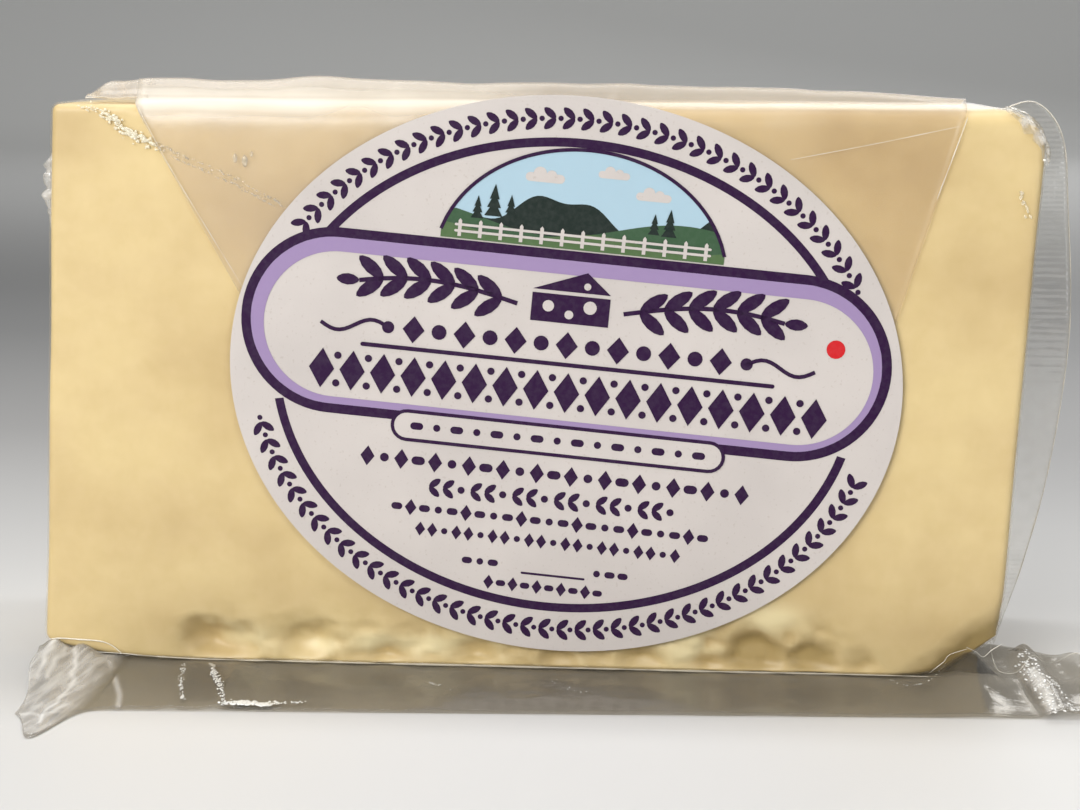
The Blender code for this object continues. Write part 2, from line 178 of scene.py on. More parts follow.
LEFT_SEAL = ((-53.0, 62.5), (-56.4, 60.6), (-58.9, 58.0), (-59.6, 55.0), (-59.3, 51.5), (-58.4, 48.6),
             (-56.4, 46.6), (-53.2, 45.0))
SEAL_COLUMNS = 12
SEAL_ROW = 0.145 * MM
SEAL_WAVE = 0.5 * MM
SEAL_WAVE_LENGTH = 44.0 * MM
RIB_PITCH = 0.58 * MM
RIB_DEPTH = 0.09 * MM

# The skirt in front of and under the block
SKIRT_ENDS = (-58.2 * MM, 71.0 * MM)
SKIRT_EDGE = -30.3 * MM
SKIRT_SKEW = 0.05
SKIRT_SLANT = 4.0 * MM
SLANT_START = -44.0 * MM
SKIRT_BACK = 13.2 * MM
LEFT_TURN = (48.0 * MM, 52.0 * MM)
LEFT_BACK = -11.5 * MM
RIGHT_TURN = (46.0 * MM, 53.0 * MM)
RIGHT_BACK = (0.8 * MM, -8.2 * MM)
RIGHT_ROUNDING = 6.0 * MM
TONGUE_X = -53.2 * MM
TONGUE_WIDTH = 3.6 * MM
TONGUE_LENGTH = 9.2 * MM
RIDGES = (  # x, height and half width, in millimetres
    (-38.0, 0.5, 1.0),
    (-33.0, 0.7, 1.2),
    (58.6, 1.8, 1.5),
    (64.5, 0.9, 1.6),
)
RIDGE_RISE = 3.5 * MM
RIGHT_RIDGE_START = -2.0 * MM
RIDGE_FADE = (20.0 * MM, 28.0 * MM)
RIDGE_LEFT = 0.4
LEFT_TENT = 2.3 * MM
LEFT_TENT_SIDE = (46.0 * MM, 55.0 * MM)
LEFT_TENT_BACK = (8.0 * MM, 12.0 * MM)
PLEATS = 13
PLEAT_SHARE = 0.2
RIGHT_TENT = 3.6 * MM
RIGHT_TENT_X = 50.6 * MM
RIGHT_TENT_WIDTH = 3.0 * MM
RIGHT_TENT_BACK = (11.5 * MM, 15.5 * MM)
END_RISE = 0.8 * MM
END_RISE_SIDE = (57.0 * MM, 64.0 * MM)
END_RISE_FRONT = (12.0 * MM, 22.0 * MM)

COVERED_SHARE = 0.2  # the part of the lower layer's rows that lies under the block
LOWER_GRID = (300, 56)
UPPER_GRID = (300, 50)
UPPER_GAP = 2.6 * FILM  # from skirt_height to the upper layer, the loop on it and the dots painted bright as glints
LOOP_GAP = 3.2 * FILM
PAINTED_GLINT_GAP = 3.4 * FILM
SKIRT_COLUMNS = (  # shares of its columns, and the x where they start
    (0.0, SKIRT_ENDS[0]),
    (0.3, -43 * MM),
    (0.7, 50 * MM),
    (1.0, SKIRT_ENDS[1]),
)

# Creases on the skirt, by x and y in millimetres
CRINKLE = ((-48.7, -17.1), (-46.1, -23.4), (-44.4, -28.0), (-43.5, -32.2))
TUFT_LINES = (
    ((-53.0, -15.4), (-51.4, -23.1), (-50.7, -28.2), (-50.7, -38.1)),
    ((-54.4, -14.7), (-53.7, -24.0)),
    ((-55.5, -14.0), (-55.0, -24.1)),
    ((-53.4, -35.5), (-52.3, -35.0), (-51.1, -35.6), (-49.3, -34.1)),
    CRINKLE[:2],
)
# Streaks at the right along which the skirt gets painted highlights
RIGHT_GLINT_STREAKS = (
    ((57.8, -8.6), (57.8, -14.4), (57.9, -20.3), (58.2, -28.5)),
    ((59.4, -19.1), (60.2, -27.4)),
)
# Embossed dots on the skirt, painted white as glints
PAINTED_GLINTS = (  # a path, and then how many dots, how far they stray and their smallest and largest radius
    (((-40.0, -16.3), (-38.7, -23.0), (-37.0, -29.4)), 90, 0.15, 0.05, 0.11),
    (((-36.8, -16.1), (-34.8, -22.0), (-31.8, -31.4)), 170, 0.22, 0.06, 0.14),
    (((-31.4, -30.6), (-29.9, -29.8), (-28.3, -30.4), (-26.6, -29.6)), 150, 0.5, 0.08, 0.24),
    (((-28.0, -30.2), (-23.8, -29.0)), 30, 0.3, 0.06, 0.14),
    (((-10.6, -20.8), (-8.0, -23.5)), 12, 0.3, 0.05, 0.1),
    (((2.6, -17.2), (4.2, -20.8), (7.1, -23.4)), 12, 0.3, 0.05, 0.1),
    (((41.7, -15.9), (43.2, -17.7), (45.6, -17.1), (48.1, -14.7)), 24, 0.12, 0.05, 0.1),
    (RIGHT_GLINT_STREAKS[0], 110, 0.42, 0.08, 0.2),
    (RIGHT_GLINT_STREAKS[1], 40, 0.3, 0.06, 0.15),
)
PAINTED_GLINT_SEED = 11

# The seam across the upper left corner, the bubbles beside it and a small wrinkle at the right, by x and z
SEAM = ((-53.6, 65.0), (-51.1, 64.7), (-48.8, 64.3), (-47.1, 63.4), (-45.5, 62.0), (-43.8, 61.1),
        (-41.8, 60.2), (-39.3, 59.0), (-36.5, 57.9), (-33.1, 56.4), (-30.1, 54.8), (-28.0, 53.6))
SEAM_DROPS = 520
SEAM_START = 0.1
SEAM_SEED = 7
BUBBLES = ((-33.1, 59.0, 0.55), (-32.0, 58.7, 0.7), (-31.2, 59.5, 0.35))  # x, z and radius
WRINKLE = ((54.0, 56.2), (54.4, 55.1), (54.9, 54.3), (55.2, 53.2))
WRINKLE_DROPS = 22

# Lines of film painted bright as highlights: those on the face have a path in x and z, a distance behind it
# and a number of steps
FACE_LINES = {
    "flap_left": (((-44.2, 65.2), (-42.0, 60.8), (-39.5, 56.3), (-32.5, 44.6)), -0.40, 40),
    "flap_right": (((48.0, 64.2), (47.4, 62.3), (46.4, 59.3), (45.0, 55.2)), -0.42, 30),
    "chip_low": (((46.3, 0.9), (47.8, 2.2), (48.0, 2.4), (48.6, 3.2), (50.5, 3.9)), -0.15, 30),
    "chip_high": (((50.5, 3.9), (51.6, 3.4), (52.5, 2.8), (53.4, 3.6), (54.6, 4.4)), 0.6, 30),
    "left": (((-56.3, 2.6), (-55.0, 2.75), (-52.6, 2.65), (-50.2, 2.5), (-48.8, 2.0), (-47.6, 1.0)),
             -0.42, 40),
    "crease": (((28.8, 59.4), (36.4, 60.9), (40.7, 61.8), (47.1, 63.2)), -0.43, 30),
    "corner": (((52.5, 65.1), (54.0, 64.2), (55.4, 63.1), (56.5, 61.0)), 0.5, 24),
}
LINE_RADII = {"flap_left": 0.045, "flap_right": 0.07, "seal": 0.08, "chip_low": 0.055, "chip_high": 0.05,
              "foot": 0.13, "left": 0.10, "loop": 0.06, "crease": 0.04, "corner": 0.09}
LOOP = ((56.3, 1.0), (55.0, -3.4), (54.7, -6.3), (54.7, -11.0), (55.7, -12.5), (57.3, -12.4), (59.4, -9.9),
        (61.4, -7.8), (65.1, -6.3), (68.5, -6.6))  # x and y on the skirt
LOOP_STEPS = 70
LOOP_RISE = 2.4 * MM
FOOT_STEPS = 159
FOOT_START = -49.5 * MM
FOOT_REACH = 6  # steps to either side that its height is the mean of
SEAL_STEPS = 80

# The oval label
LABEL_WIDTH = 76.2 * MM
LABEL_HEIGHT = 63.5 * MM
LABEL_MIDDLE = (4.0 * MM, 34.5 * MM)
LABEL_TILT = math.radians(5.15)
PAPER = 0.15 * MM
PAPER_STEP = 3.0 * MM
INK = 0.012 * MM  # thickness of a printed layer
LAYER = 0.016 * MM  # from one printed layer to the next

# Its print: half widths, half heights and places in millimetres from the label's middle
RING = ((33.3, 27.1), (32.3, 26.1))
RING_STEPS = 180
RING_GAP = 9.6  # half the height of the ring's gap beside the banner
BANNER_MIDDLE = (-0.3, 4.0)
BORDER = (35.5, 29.2)
BORDER_ARCS = ((28, 152), (197, 343))
BORDER_PITCH = 2.1
TAB_MIDDLE = (0.0, -7.1)
FOOT_ROWS = (  # height, half length and pitch, and the motifs that take turns
    (-11.1, 21.2, 1.95, ("diamond", "dot", "diamond", "dash")),
    (-14.0, 13.6, 1.6, ("leaf", "leaf", "dot")),
    (-16.6, 17.3, 1.6, ("dash", "diamond", "dash", "dot")),
    (-19.0, 15.0, 1.4, ("diamond", "diamond", "dot")),
    (-22.1, 9.0, 1.5, ("dash", "dot", "dash", "", "", "", "", "", "", "", "dot", "dash")),
    (-24.4, 6.4, 1.4, ("diamond", "dash")),
)
ARCH = ((0.6, 12.3), 16.4, 13.6)  # its middle, half width and height
ARCH_FOOT = 14.75
INK_COLOURS = {
    "purple": (0.024, 0.003, 0.038),
    "lilac": (0.33, 0.24, 0.43),
    "paper": (0.62, 0.57, 0.54),
    "sky": (0.40, 0.56, 0.66),
    "dark": (0.012, 0.022, 0.018),
    "green": (0.045, 0.10, 0.050),
    "meadow": (0.085, 0.15, 0.060),
    "red": (0.60, 0.015, 0.020),
}

# The camera of the photograph
CAMERA_PLACE = Vector((14.773, -240.607, 71.374)) * MM
CAMERA_AZIMUTH = math.radians(3.4)
CAMERA_PITCH = math.radians(10.0)
CAMERA_ROLL = math.radians(0.35)
CAMERA_LENS = 67.47

# The studio
FLOOR_HALF_WIDTH = 2.5
FLOOR_ENDS = (-1.6, 2.2)
FLOOR_TURN = 1.2  # y where it starts to sweep up
# floor colours from front to back, darker as painted shade where less light would reach
FLOOR_SHADE_COLOURS = ((0.62, 0.615, 0.605), (0.36, 0.355, 0.35), (0.27, 0.27, 0.27))
WALL_COLOUR = (0.85, 0.85, 0.83, 1.0)
LIGHTS = (  # name, place, target, size, power and colour
    ("key", (-0.30, -0.60, 0.32), (0, 0, 0.03), (0.40, 0.28), 3.7, (1.0, 0.985, 0.96)),
    ("back", (0.0, 0.09, 0.50), (0, -0.15, 0.0), (0.70, 0.10), 1.9, (1.0, 1.0, 1.0)),
    ("top", (-0.12, -0.17, 0.50), (-0.12, -0.17, 0.0), (0.12, 0.30), 0.75, (1.0, 1.0, 1.0)),
    ("fill", (0.45, -0.50, 0.22), (0, 0, 0.03), (0.30, 0.35), 0.8, (0.97, 0.985, 1.0)),
    ("wall", (0.0, 0.55, 0.45), (0, 1.5, 0.1), (1.6, 0.3), 2.2, (1.0, 1.0, 1.0)),
    ("rim", (0.35, 1.05, 0.60), (0, 0, 0.03), (0.60, 0.30), 2.6, (1.0, 1.0, 1.0)),
)


def mix(start, end, share):
    """The value that lies the given share of the way from start to end."""
    return start + (end - start) * share


def smooth_step(value, low, high):
    """0 below low, 1 above high, with an even curve between them."""
    share = min(1.0, max(0.0, (value - low) / (high - low)))
    return share * share * (3 - 2 * share)


def bump(value, middle, half_width):
    """A rounded bump of height 1 at its middle."""
    return math.exp(-(((value - middle) / half_width) ** 2))


def smooth_path(points, share):
    """A point on the smooth curve through the given points, share running from 0 to 1."""
    last = len(points) - 1
    place = min(share * last, last - 1e-9)
    i = int(place)
    t = place - i
    before, start, end, after = (Vector(points[min(last, max(0, i + k))]) for k in (-1, 0, 1, 2))
    pull = (end - before) * t + (2 * before - 5 * start + 4 * end - after) * t**2
    return start + 0.5 * (pull + (3 * (start - end) + after - before) * t**3)


def smooth_value(values, share):
    """The same for a list of single values."""
    return smooth_path([(value, 0.0) for value in values], share).x


def grain_at(place, size):
    """Smooth noise from -1 to 1 whose features have the given size."""
    return noise.noise(place / size)


def grain(x, y, z, size):
    """The same for a place given by its three lengths."""
    return grain_at(Vector((x, y, z)), size)


# Materials


def new_material(name):
    """A material without nodes, and its node tree."""
    material = bpy.data.materials.new(name)
    material.use_nodes = True
    material.node_tree.nodes.clear()
    return material, material.node_tree


def add_node(tree, kind, inputs, **settings):
    """Adds a node and returns its outputs: inputs gives each socket's value or the output that feeds it."""
    node = tree.nodes.new("ShaderNode" + kind)
    for name, value in settings.items():
        setattr(node, name, value)
    for name, value in inputs.items():
        if isinstance(value, bpy.types.NodeSocket):
            tree.links.new(value, node.inputs[name])
        else:
            node.inputs[name].default_value = value
    return node.outputs


def place_noise(tree, size, detail, roughness, stretch=(1.0, 1.0, 1.0)):
    """Noise fixed to the object, with features of about the given size."""
    place = add_node(tree, "TexCoord", {})["Object"]
    mapped = add_node(tree, "Mapping", {"Vector": place, "Scale": stretch})["Vector"]
    inputs = {"Vector": mapped, "Scale": 1 / size, "Detail": detail, "Roughness": roughness}
    return add_node(tree, "TexNoise", inputs)["Fac"]


def ramp(tree, factor, low, high, stops):
    """Colours along a factor: stops are two or more colours spread evenly from low to high."""
    node = tree.nodes.new("ShaderNodeValToRGB")
    elements = node.color_ramp.elements
    while len(elements) < len(stops):
        elements.new(0.5)
    for i, colour in enumerate(stops):
        elements[i].position = mix(low, high, i / (len(stops) - 1))
        elements[i].color = (*colour, 1.0)
    tree.links.new(factor, node.inputs["Fac"])
    return node.outputs["Color"]


def blend(tree, share, first, second, kind="MIX"):
    """Mixes the second colour into the first."""
    inputs = {"Fac": share, "Color1": first, "Color2": second}
    return add_node(tree, "MixRGB", inputs, blend_type=kind)["Color"]


def combine(tree, operation, first, second):
    """The sum, product or power of two values, kept between 0 and 1."""
    return add_node(tree, "Math", {0: first, 1: second}, operation=operation, use_clamp=True)["Value"]


def relief(tree, height, distance, strength, below=None):
    """A normal that follows a height, and the relief below it if there is one."""
    inputs = {"Height": height, "Distance": distance, "Strength": strength}
    if below is not None:
        inputs["Normal"] = below
    return add_node(tree, "Bump", inputs)["Normal"]


def painted_value(tree, name):
    """A value that the mesh stores at each of its points."""
    return add_node(tree, "Attribute", {}, attribute_name=name)["Fac"]


def solid_surface(tree, inputs):
    """Ends a material that light doesn't pass through."""
    shader = add_node(tree, "BsdfPrincipled", inputs)["BSDF"]
    add_node(tree, "OutputMaterial", {"Surface": shader})


def cheese_material():
    """Pale cheddar, mottled in soft patches and fine curds, with painted shade in its hollows and a painted
    highlight on its lumps.
    """
    material, tree = new_material("cheddar")
    patches = place_noise(tree, PATCH_SIZE, 3.0, 0.5, (0.8, 1.0, 1.1))
    broad = ramp(tree, patches, 0.33, 0.68, CHEESE_COLOURS)
    curds = place_noise(tree, CURD_SIZE, 4.0, 0.6)
    fine = ramp(tree, curds, 0.3, 0.7, ((1.0, 1.0, 1.0), (0.95, 0.94, 0.90)))
    mottled = blend(tree, 1.0, broad, fine, "MULTIPLY")
    painted_shading = painted_value(tree, "painted_shading")
    shaded = blend(tree, painted_shading, mottled, PAINTED_SHADE_COLOUR)
    highlighted = blend(tree, combine(tree, "MULTIPLY", painted_shading, -1.0), shaded, PAINTED_HIGHLIGHT_COLOUR)
    normal = relief(tree, place_noise(tree, PORE_SIZE, 3.0, 0.6), PORE_DEPTH, 0.35)
    solid_surface(tree, {"Base Color": highlighted, "Normal": normal, "Roughness": 0.5, "Specular IOR Level": 0.35})
    return material


def film_material(name, tint, gloss, glance, roughness, wrinkle, emboss, milk_and_highlight, milk_and_highlight_colour):
    """Clear plastic film: see-through, glossier at a grazing angle, milky where it is creased or in layers,
    and white where a highlight is painted on.

    glance is how much it mirrors at a grazing angle and emboss how strong its pattern of fine dots is. The
    mesh's own milk values, which also hold its painted highlights, are added to the milk that it has all over.
    """
    material, tree = new_material(name)
    normal = relief(tree, place_noise(tree, WRINKLE_SIZE, 2.0, 0.5), WRINKLE_DEPTH, wrinkle)
    if emboss:
        place = add_node(tree, "TexCoord", {})["Object"]
        dots = add_node(tree, "TexVoronoi", {"Vector": place, "Scale": 1 / EMBOSS_PITCH, "Randomness": 0.25})
        normal = relief(tree, dots["Distance"], EMBOSS_DEPTH, emboss, normal)
    facing = add_node(tree, "LayerWeight", {"Blend": 0.5, "Normal": normal})["Facing"]
    steep = combine(tree, "POWER", facing, 4.0)
    mirror = combine(tree, "ADD", combine(tree, "MULTIPLY", steep, glance), gloss)
    milk_and_highlight_share = combine(tree, "ADD", painted_value(tree, "milk_and_highlight"), milk_and_highlight)
    clear = add_node(tree, "BsdfTransparent", {"Color": (*tint, 1.0)})["BSDF"]
    milk_and_highlight_shader = add_node(tree, "BsdfDiffuse", {"Color": (*milk_and_highlight_colour, 1.0)})["BSDF"]
    glossy = {"Color": (1.0, 1.0, 1.0, 1.0), "Roughness": roughness, "Normal": normal}
    shine = add_node(tree, "BsdfGlossy", glossy)["BSDF"]
    body = add_node(tree, "MixShader", {"Fac": milk_and_highlight_share, 1: clear, 2: milk_and_highlight_shader})["Shader"]
    surface = add_node(tree, "MixShader", {"Fac": mirror, 1: body, 2: shine})["Shader"]
    add_node(tree, "OutputMaterial", {"Surface": surface})
    return material


def paper_material():
    """Smooth label paper, faintly grey-pink and speckled by the press."""
    material, tree = new_material("label_paper")
    clouds = place_noise(tree, 14 * MM, 3.0, 0.5)
    colour = ramp(tree, clouds, 0.3, 0.7, ((0.62, 0.57, 0.54), (0.55, 0.505, 0.48)))
    specks = place_noise(tree, 0.35 * MM, 2.0, 0.5)
    speckled = ramp(tree, specks, 0.28, 0.36, ((0.90, 0.88, 0.86), (1.0, 1.0, 1.0)))
    normal = relief(tree, place_noise(tree, 0.5 * MM, 4.0, 0.6), 0.02 * MM, 0.3)
    printed = blend(tree, 1.0, colour, speckled, "MULTIPLY")
    solid_surface(tree, {"Base Color": printed, "Normal": normal, "Roughness": 0.42})
    return material


def ink_material(name, colour):
    """Printed ink with a slightly uneven coverage."""
    material, tree = new_material(name)
    cover = place_noise(tree, 0.6 * MM, 3.0, 0.6)
    lighter = tuple(mix(c, 0.5, 0.03) for c in colour)
    tone = ramp(tree, cover, 0.4, 0.75, (colour, lighter))
    solid_surface(tree, {"Base Color": tone, "Roughness": 0.38, "Specular IOR Level": 0.2})
    return material


# Meshes


def place_object(name, data):
    """Puts a mesh, a light or a camera into the scene."""
    placed = bpy.data.objects.new(name, data)
    bpy.context.scene.collection.objects.link(placed)
    return placed


def ride_piece(mesh, replaced):
    """A piece of the object that rides on its body and takes the place of a part of the frame."""
    piece = place_object(mesh.name, mesh)
    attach(piece, ROOT)
    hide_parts(replaced)
    return piece


def smooth_mesh(name, points, faces):
    mesh = bpy.data.meshes.new(name)
    mesh.from_pydata([tuple(p) for p in points], [], faces)
    mesh.validate()
    mesh.shade_smooth()
    return mesh


def pouch_piece(name, points, faces, *materials):
    """A piece of the cheese or of its pouch."""
    mesh = smooth_mesh(name, points, faces)
    for material in materials:
        mesh.materials.append(material)
    return ride_piece(mesh, CAD_POUCH)


def store(piece, name, values):
    """Stores a value for each point of a mesh, for its material to read."""
    layer = piece.data.attributes.new(name, "FLOAT", "POINT")
    layer.data.foreach_set("value", values)


def paint_milk_and_highlight(piece, milk_and_highlight):
    """Stores how milky the film is at each of its points, from 0 to 1, with painted highlights as milk."""
    store(piece, "milk_and_highlight", [min(1.0, max(0.0, milk_and_highlight(vertex.co))) for vertex in piece.data.vertices])


def patchy(base, more, size):
    """Milk that is even but for soft patches with more of it."""
    return lambda place: base + more * max(0.0, grain_at(place, size))


def thicken(piece, thickness, offset, rim_material=0):
    solidify = piece.modifiers.new("thickness", "SOLIDIFY")
    solidify.thickness = thickness
    solidify.offset = offset
    solidify.material_offset_rim = rim_material
    solidify.use_even_offset = False


def film_sheet(name, surface, grid, milk_and_highlight, thickness, *films):
    """A sheet of film over a surface: films are its material and, if given, the one of its cut edge."""
    points, faces = grid_sheet(surface, *grid)
    sheet = pouch_piece(name, points, faces, *films)
    paint_milk_and_highlight(sheet, milk_and_highlight)
    thicken(sheet, thickness, 0.0, len(films) - 1)


def grid_sheet(surface, columns, rows):
    """Points and faces of a grid: surface gives its points for two shares from 0 to 1."""
    points = [surface(i / columns, j / rows) for j in range(rows + 1) for i in range(columns + 1)]
    faces = []
    for j in range(rows):
        for i in range(columns):
            a = j * (columns + 1) + i
            faces.append((a, a + 1, a + columns + 2, a + columns + 1))
    return points, faces


def bead(points, radii, normal, flat=1.0, sides=8):
    """Points and faces of a closed bead along a path that lies on a surface with the given normal."""
    rings, faces = [], []
    last = len(points) - 1
    for i, point in enumerate(points):
        along = (points[min(last, i + 1)] - points[max(0, i - 1)]).normalized()
        across = along.cross(normal).normalized()
        out = across.cross(along).normalized()
        for k in range(sides):
            turn = 2 * math.pi * k / sides
            aside = across * (radii[i] * math.cos(turn))
            rings.append(point + aside + out * (radii[i] * flat * math.sin(turn)))
    for i in range(last):
        for k in range(sides):
            a, b = i * sides + k, i * sides + (k + 1) % sides
            faces.append((a, b, b + sides, a + sides))
    faces.append(tuple(range(sides))[::-1])
    faces.append(tuple(last * sides + k for k in range(sides)))
    return rings, faces


def add_drop(points, faces, centre, reach, radius, normal, flat):
    """Adds a small long drop of film that lies on a surface with the given normal."""
    line = [centre + reach * share for share in (-1.0, -0.6, 0.0, 0.6, 1.0)]
    drop, drop_faces = bead(line, [radius * share for share in (0.25, 0.8, 1.0, 0.8, 0.25)], normal, flat)
    base = len(points)
    points += drop
    faces += [tuple(base + k for k in face) for face in drop_faces]


def near_path(x, y, path, half_width):
    """1 on a path given in millimetres, and falling to 0 beside it."""
    place = Vector((x / MM, y / MM))
    nearest = 1e9
    for (ax, ay), (bx, by) in zip(path, path[1:]):
        start, along = Vector((ax, ay)), Vector((bx - ax, by - ay))
        share = min(1.0, max(0.0, (place - start).dot(along) / along.length_squared))
        nearest = min(nearest, (place - start - along * share).length)
    return bump(nearest, 0.0, half_width)


def cuts(low, high, rim, steps):
    """Where to cut a side of the block: close together over its rounded edges, then (end, step) stretches."""
    places = [low + rim * share for share in (0.0, 0.2, 0.45, 0.7, 1.0)]
    for end, step in steps:
        start = places[-1]
        stop = min(end, high - rim)
        count = max(1, round((stop - start) / step))
        places += [mix(start, stop, i / count) for i in range(1, count + 1)]
    return places + [high - rim * share for share in (0.7, 0.45, 0.2, 0.0)]


def box_sides(xs, ys, zs):
    """Points and faces of a closed box whose sides are cut at the given places."""
    index, points, faces = {}, [], []

    def vertex(i, j, k):
        if (i, j, k) not in index:
            index[(i, j, k)] = len(points)
            points.append(Vector((xs[i], ys[j], zs[k])))
        return index[(i, j, k)]

    last = (len(xs) - 1, len(ys) - 1, len(zs) - 1)
    for axis in range(3):
        a, b = (axis + 1) % 3, (axis + 2) % 3
        for end in (0, last[axis]):
            for p in range(last[a]):
                for q in range(last[b]):
                    corners = []
                    for da, db in ((0, 0), (1, 0), (1, 1), (0, 1)):
                        place = [0, 0, 0]
                        place[axis], place[a], place[b] = end, p + da, q + db
                        corners.append(vertex(*place))
                    faces.append(tuple(corners) if end else tuple(reversed(corners)))
    return points, faces


# The cheese and the skin of film on it


def round_off(along, up, radius):
    """Pulls a place near an edge onto a wider rounding, along and up being shares of its radius.

    reach is how far out the place lies, 1 being on the box, whose own small rounding is allowed for.
    """
    reach = max(along, up)
    near = [(share * radius - radius + EDGE_RADIUS) / EDGE_RADIUS for share in (along, up)]
    if min(near) > 0:
        reach = 1 - (1 - math.hypot(*near)) * EDGE_RADIUS / radius
    shrink = reach / math.hypot(along, up)
    return along * shrink * radius, up * shrink * radius


def wear_corners(point):
    """Rounds the upper right corner of the face and breaks off the lower right one."""
    x, z = point.x, point.z
    middle_x, middle_z = WIDTH / 2 - WORN_CORNER, HEIGHT - WORN_CORNER
    along, up = (x - middle_x) / WORN_CORNER, (z - middle_z) / WORN_CORNER
    if along > 0 and up > 0:
        aside, above = round_off(along, up, WORN_CORNER)
        x, z = middle_x + aside, middle_z + above
    middle_x, middle_z = WIDTH / 2 - CHIP_WIDTH, CHIP_HEIGHT
    along, down = (x - middle_x) / CHIP_WIDTH, (middle_z - z) / CHIP_HEIGHT
    if along > 0 and down > 0:
        shrink = max(along, down) / (along + down)
        x, z = middle_x + along * shrink * CHIP_WIDTH, middle_z - down * shrink * CHIP_HEIGHT
    return Vector((x, point.y, z))


def round_top_edge(point):
    """Rounds the upper front edge, over which the film is drawn."""
    radius = TOP_ROUNDING * smooth_step(point.x, *TOP_ROUNDING_START)
    if radius < EDGE_RADIUS:
        return point
    middle_y, middle_z = FRONT + radius, HEIGHT - radius
    back, up = (middle_y - point.y) / radius, (point.z - middle_z) / radius
    if back <= 0 or up <= 0:
        return point
    forward, above = round_off(back, up, radius)
    return Vector((point.x, middle_y - forward, middle_z + above))


def crumble(x, z):
    """How far the lower front edge has crumbled away at a place on the face."""
    rough = noise.fractal(Vector((x, 0.0, z)) / CRUMBLE_GRAIN, 0.8, 2.2, 3)
    band = 1 - smooth_step(z, 0.25 * CRUMBLE_HEIGHT, CRUMBLE_HEIGHT)
    band *= smooth_step(x, *CRUMBLED_SPAN[0]) * (1 - smooth_step(x, *CRUMBLED_SPAN[1]))
    depth = CRUMBLE_DEPTH * band * max(0.0, 0.35 + 0.9 * rough)
    for middle_x, middle_z, half_width, half_height, deep in DENTS:
        away = math.hypot((x / MM - middle_x) / half_width, (z / MM - middle_z) / half_height)
        depth += deep * MM * (1 - smooth_step(away + 0.45 * rough, 0.15, 1.1))
    if depth > 0:
        loose = min(1.0, depth / MM)
        curd = noise.voronoi(Vector((x + 0.4 * LUMP_SIZE * rough, 0.0, z)) / LUMP_SIZE)[0][0]
        crumb = noise.voronoi(Vector((x, 0.0, z + 0.3 * CRUMB_SIZE * rough)) / CRUMB_SIZE)[0][0]
        depth += loose * (LUMP_DEPTH * (curd - CURD_MEAN) + CRUMB_DEPTH * (crumb - CURD_MEAN))
    depth = max(0.0, depth) * mix(LIP_SHARE, 1.0, smooth_step(z, 0, CRUMBLE_LIP))
    inside = CHIP_HEIGHT * (WIDTH / 2 - x) + CHIP_WIDTH * z - CHIP_WIDTH * CHIP_HEIGHT
    inside /= math.hypot(CHIP_WIDTH, CHIP_HEIGHT)
    if x > 0 and inside < 2 * CHIP_BEVEL_WIDTH:
        depth += CHIP_BEVEL * (1 - smooth_step(inside + 0.5 * MM * rough, 0, CHIP_BEVEL_WIDTH))
    return depth


def block_point(point):
    """Moves a point of the sharp box onto the block, and tells how much painted shade the place gets, or below
    0 how much painted highlight.
    """
    half = Vector((WIDTH, DEPTH, HEIGHT)) / 2
    centred = point - Vector((0, 0, half.z))
    inner = Vector([max(-h + EDGE_RADIUS, min(h - EDGE_RADIUS, c)) for c, h in zip(centred, half)])
    out = (centred - inner).normalized()
    sink = SWELL_DEPTH * (0.5 + 0.5 * noise.fractal(point / SWELL_SIZE, 1.0, 2.0, 2))
    worn = round_top_edge(wear_corners(inner + out * (EDGE_RADIUS - max(0.0, sink)) + Vector((0, 0, half.z))))
    nearness = 1 - smooth_step(worn.y, FRONT + EDGE_RADIUS, FRONT + CRUMBLE_REACH)
    lift = CORNER_LIFT * max(0.0, (worn.x - LIFT_START) / (-WIDTH / 2 - LIFT_START)) ** LIFT_POWER
    depth = painted_shading = 0.0
    if nearness > 0 and worn.z < 1.6 * CRUMBLE_HEIGHT:
        depth = crumble(worn.x, worn.z)
        sides = ((-1, 0), (1, 0), (0, -1), (0, 1))
        around = [crumble(worn.x + dx * MM, worn.z + dz * MM) for dx, dz in sides]
        # Painted shade: places deeper than the face or than their neighbours are darkened and browned, more at
        # the right where the chip is
        cavity_shade = (depth - sum(around) / len(around)) / MM
        shade_strength = mix(*PAINTED_SHADE_STRENGTH, smooth_step(worn.x, 0, 44 * MM))
        painted_shading = shade_strength * smooth_step(depth, 0.3 * MM, 1.7 * MM) + 0.6 * cavity_shade
        # Painted highlight: the pale lumps turn the painted shading negative, so they are paled
        for middle_x, middle_z, half_width, half_height in PAINTED_HIGHLIGHT_LUMPS:
            away = math.hypot((worn.x / MM - middle_x) / half_width, (worn.z / MM - middle_z) / half_height)
            painted_shading -= 0.9 * bump(away, 0.0, 0.9)
        depth *= nearness
    moved = Vector(worn)
    moved.x += LEAN * (worn.z - half.z)
    moved.y += depth
    moved.z += lift * (1 - smooth_step(worn.z, 0, LIFT_HEIGHT))
    moved.z = max(BASE_GAP, moved.z)
    return moved, min(PAINTED_SHADING_LIMITS[1], max(PAINTED_SHADING_LIMITS[0], painted_shading)) * nearness


def block_mesh(step, foot_step):
    """Points, faces and painted shading of the block, cut finest at its foot."""
    low, high = -WIDTH / 2, WIDTH / 2
    xs = cuts(low, high, EDGE_RADIUS, [(high, step)])
    ys = cuts(FRONT, -FRONT, EDGE_RADIUS, [(FRONT + CRUMBLE_REACH, step), (-FRONT, 2 * step)])
    heights = [(1.6 * CRUMBLE_HEIGHT, foot_step), (HEIGHT - TOP_ROUNDING, 1.3 * step), (HEIGHT, 0.6 * step)]
    zs = cuts(0.0, HEIGHT, EDGE_RADIUS, heights)
    sharp, faces = box_sides(xs, ys, zs)
    placed = [block_point(point) for point in sharp]
    return [point for point, _ in placed], faces, [painted_shading for _, painted_shading in placed]


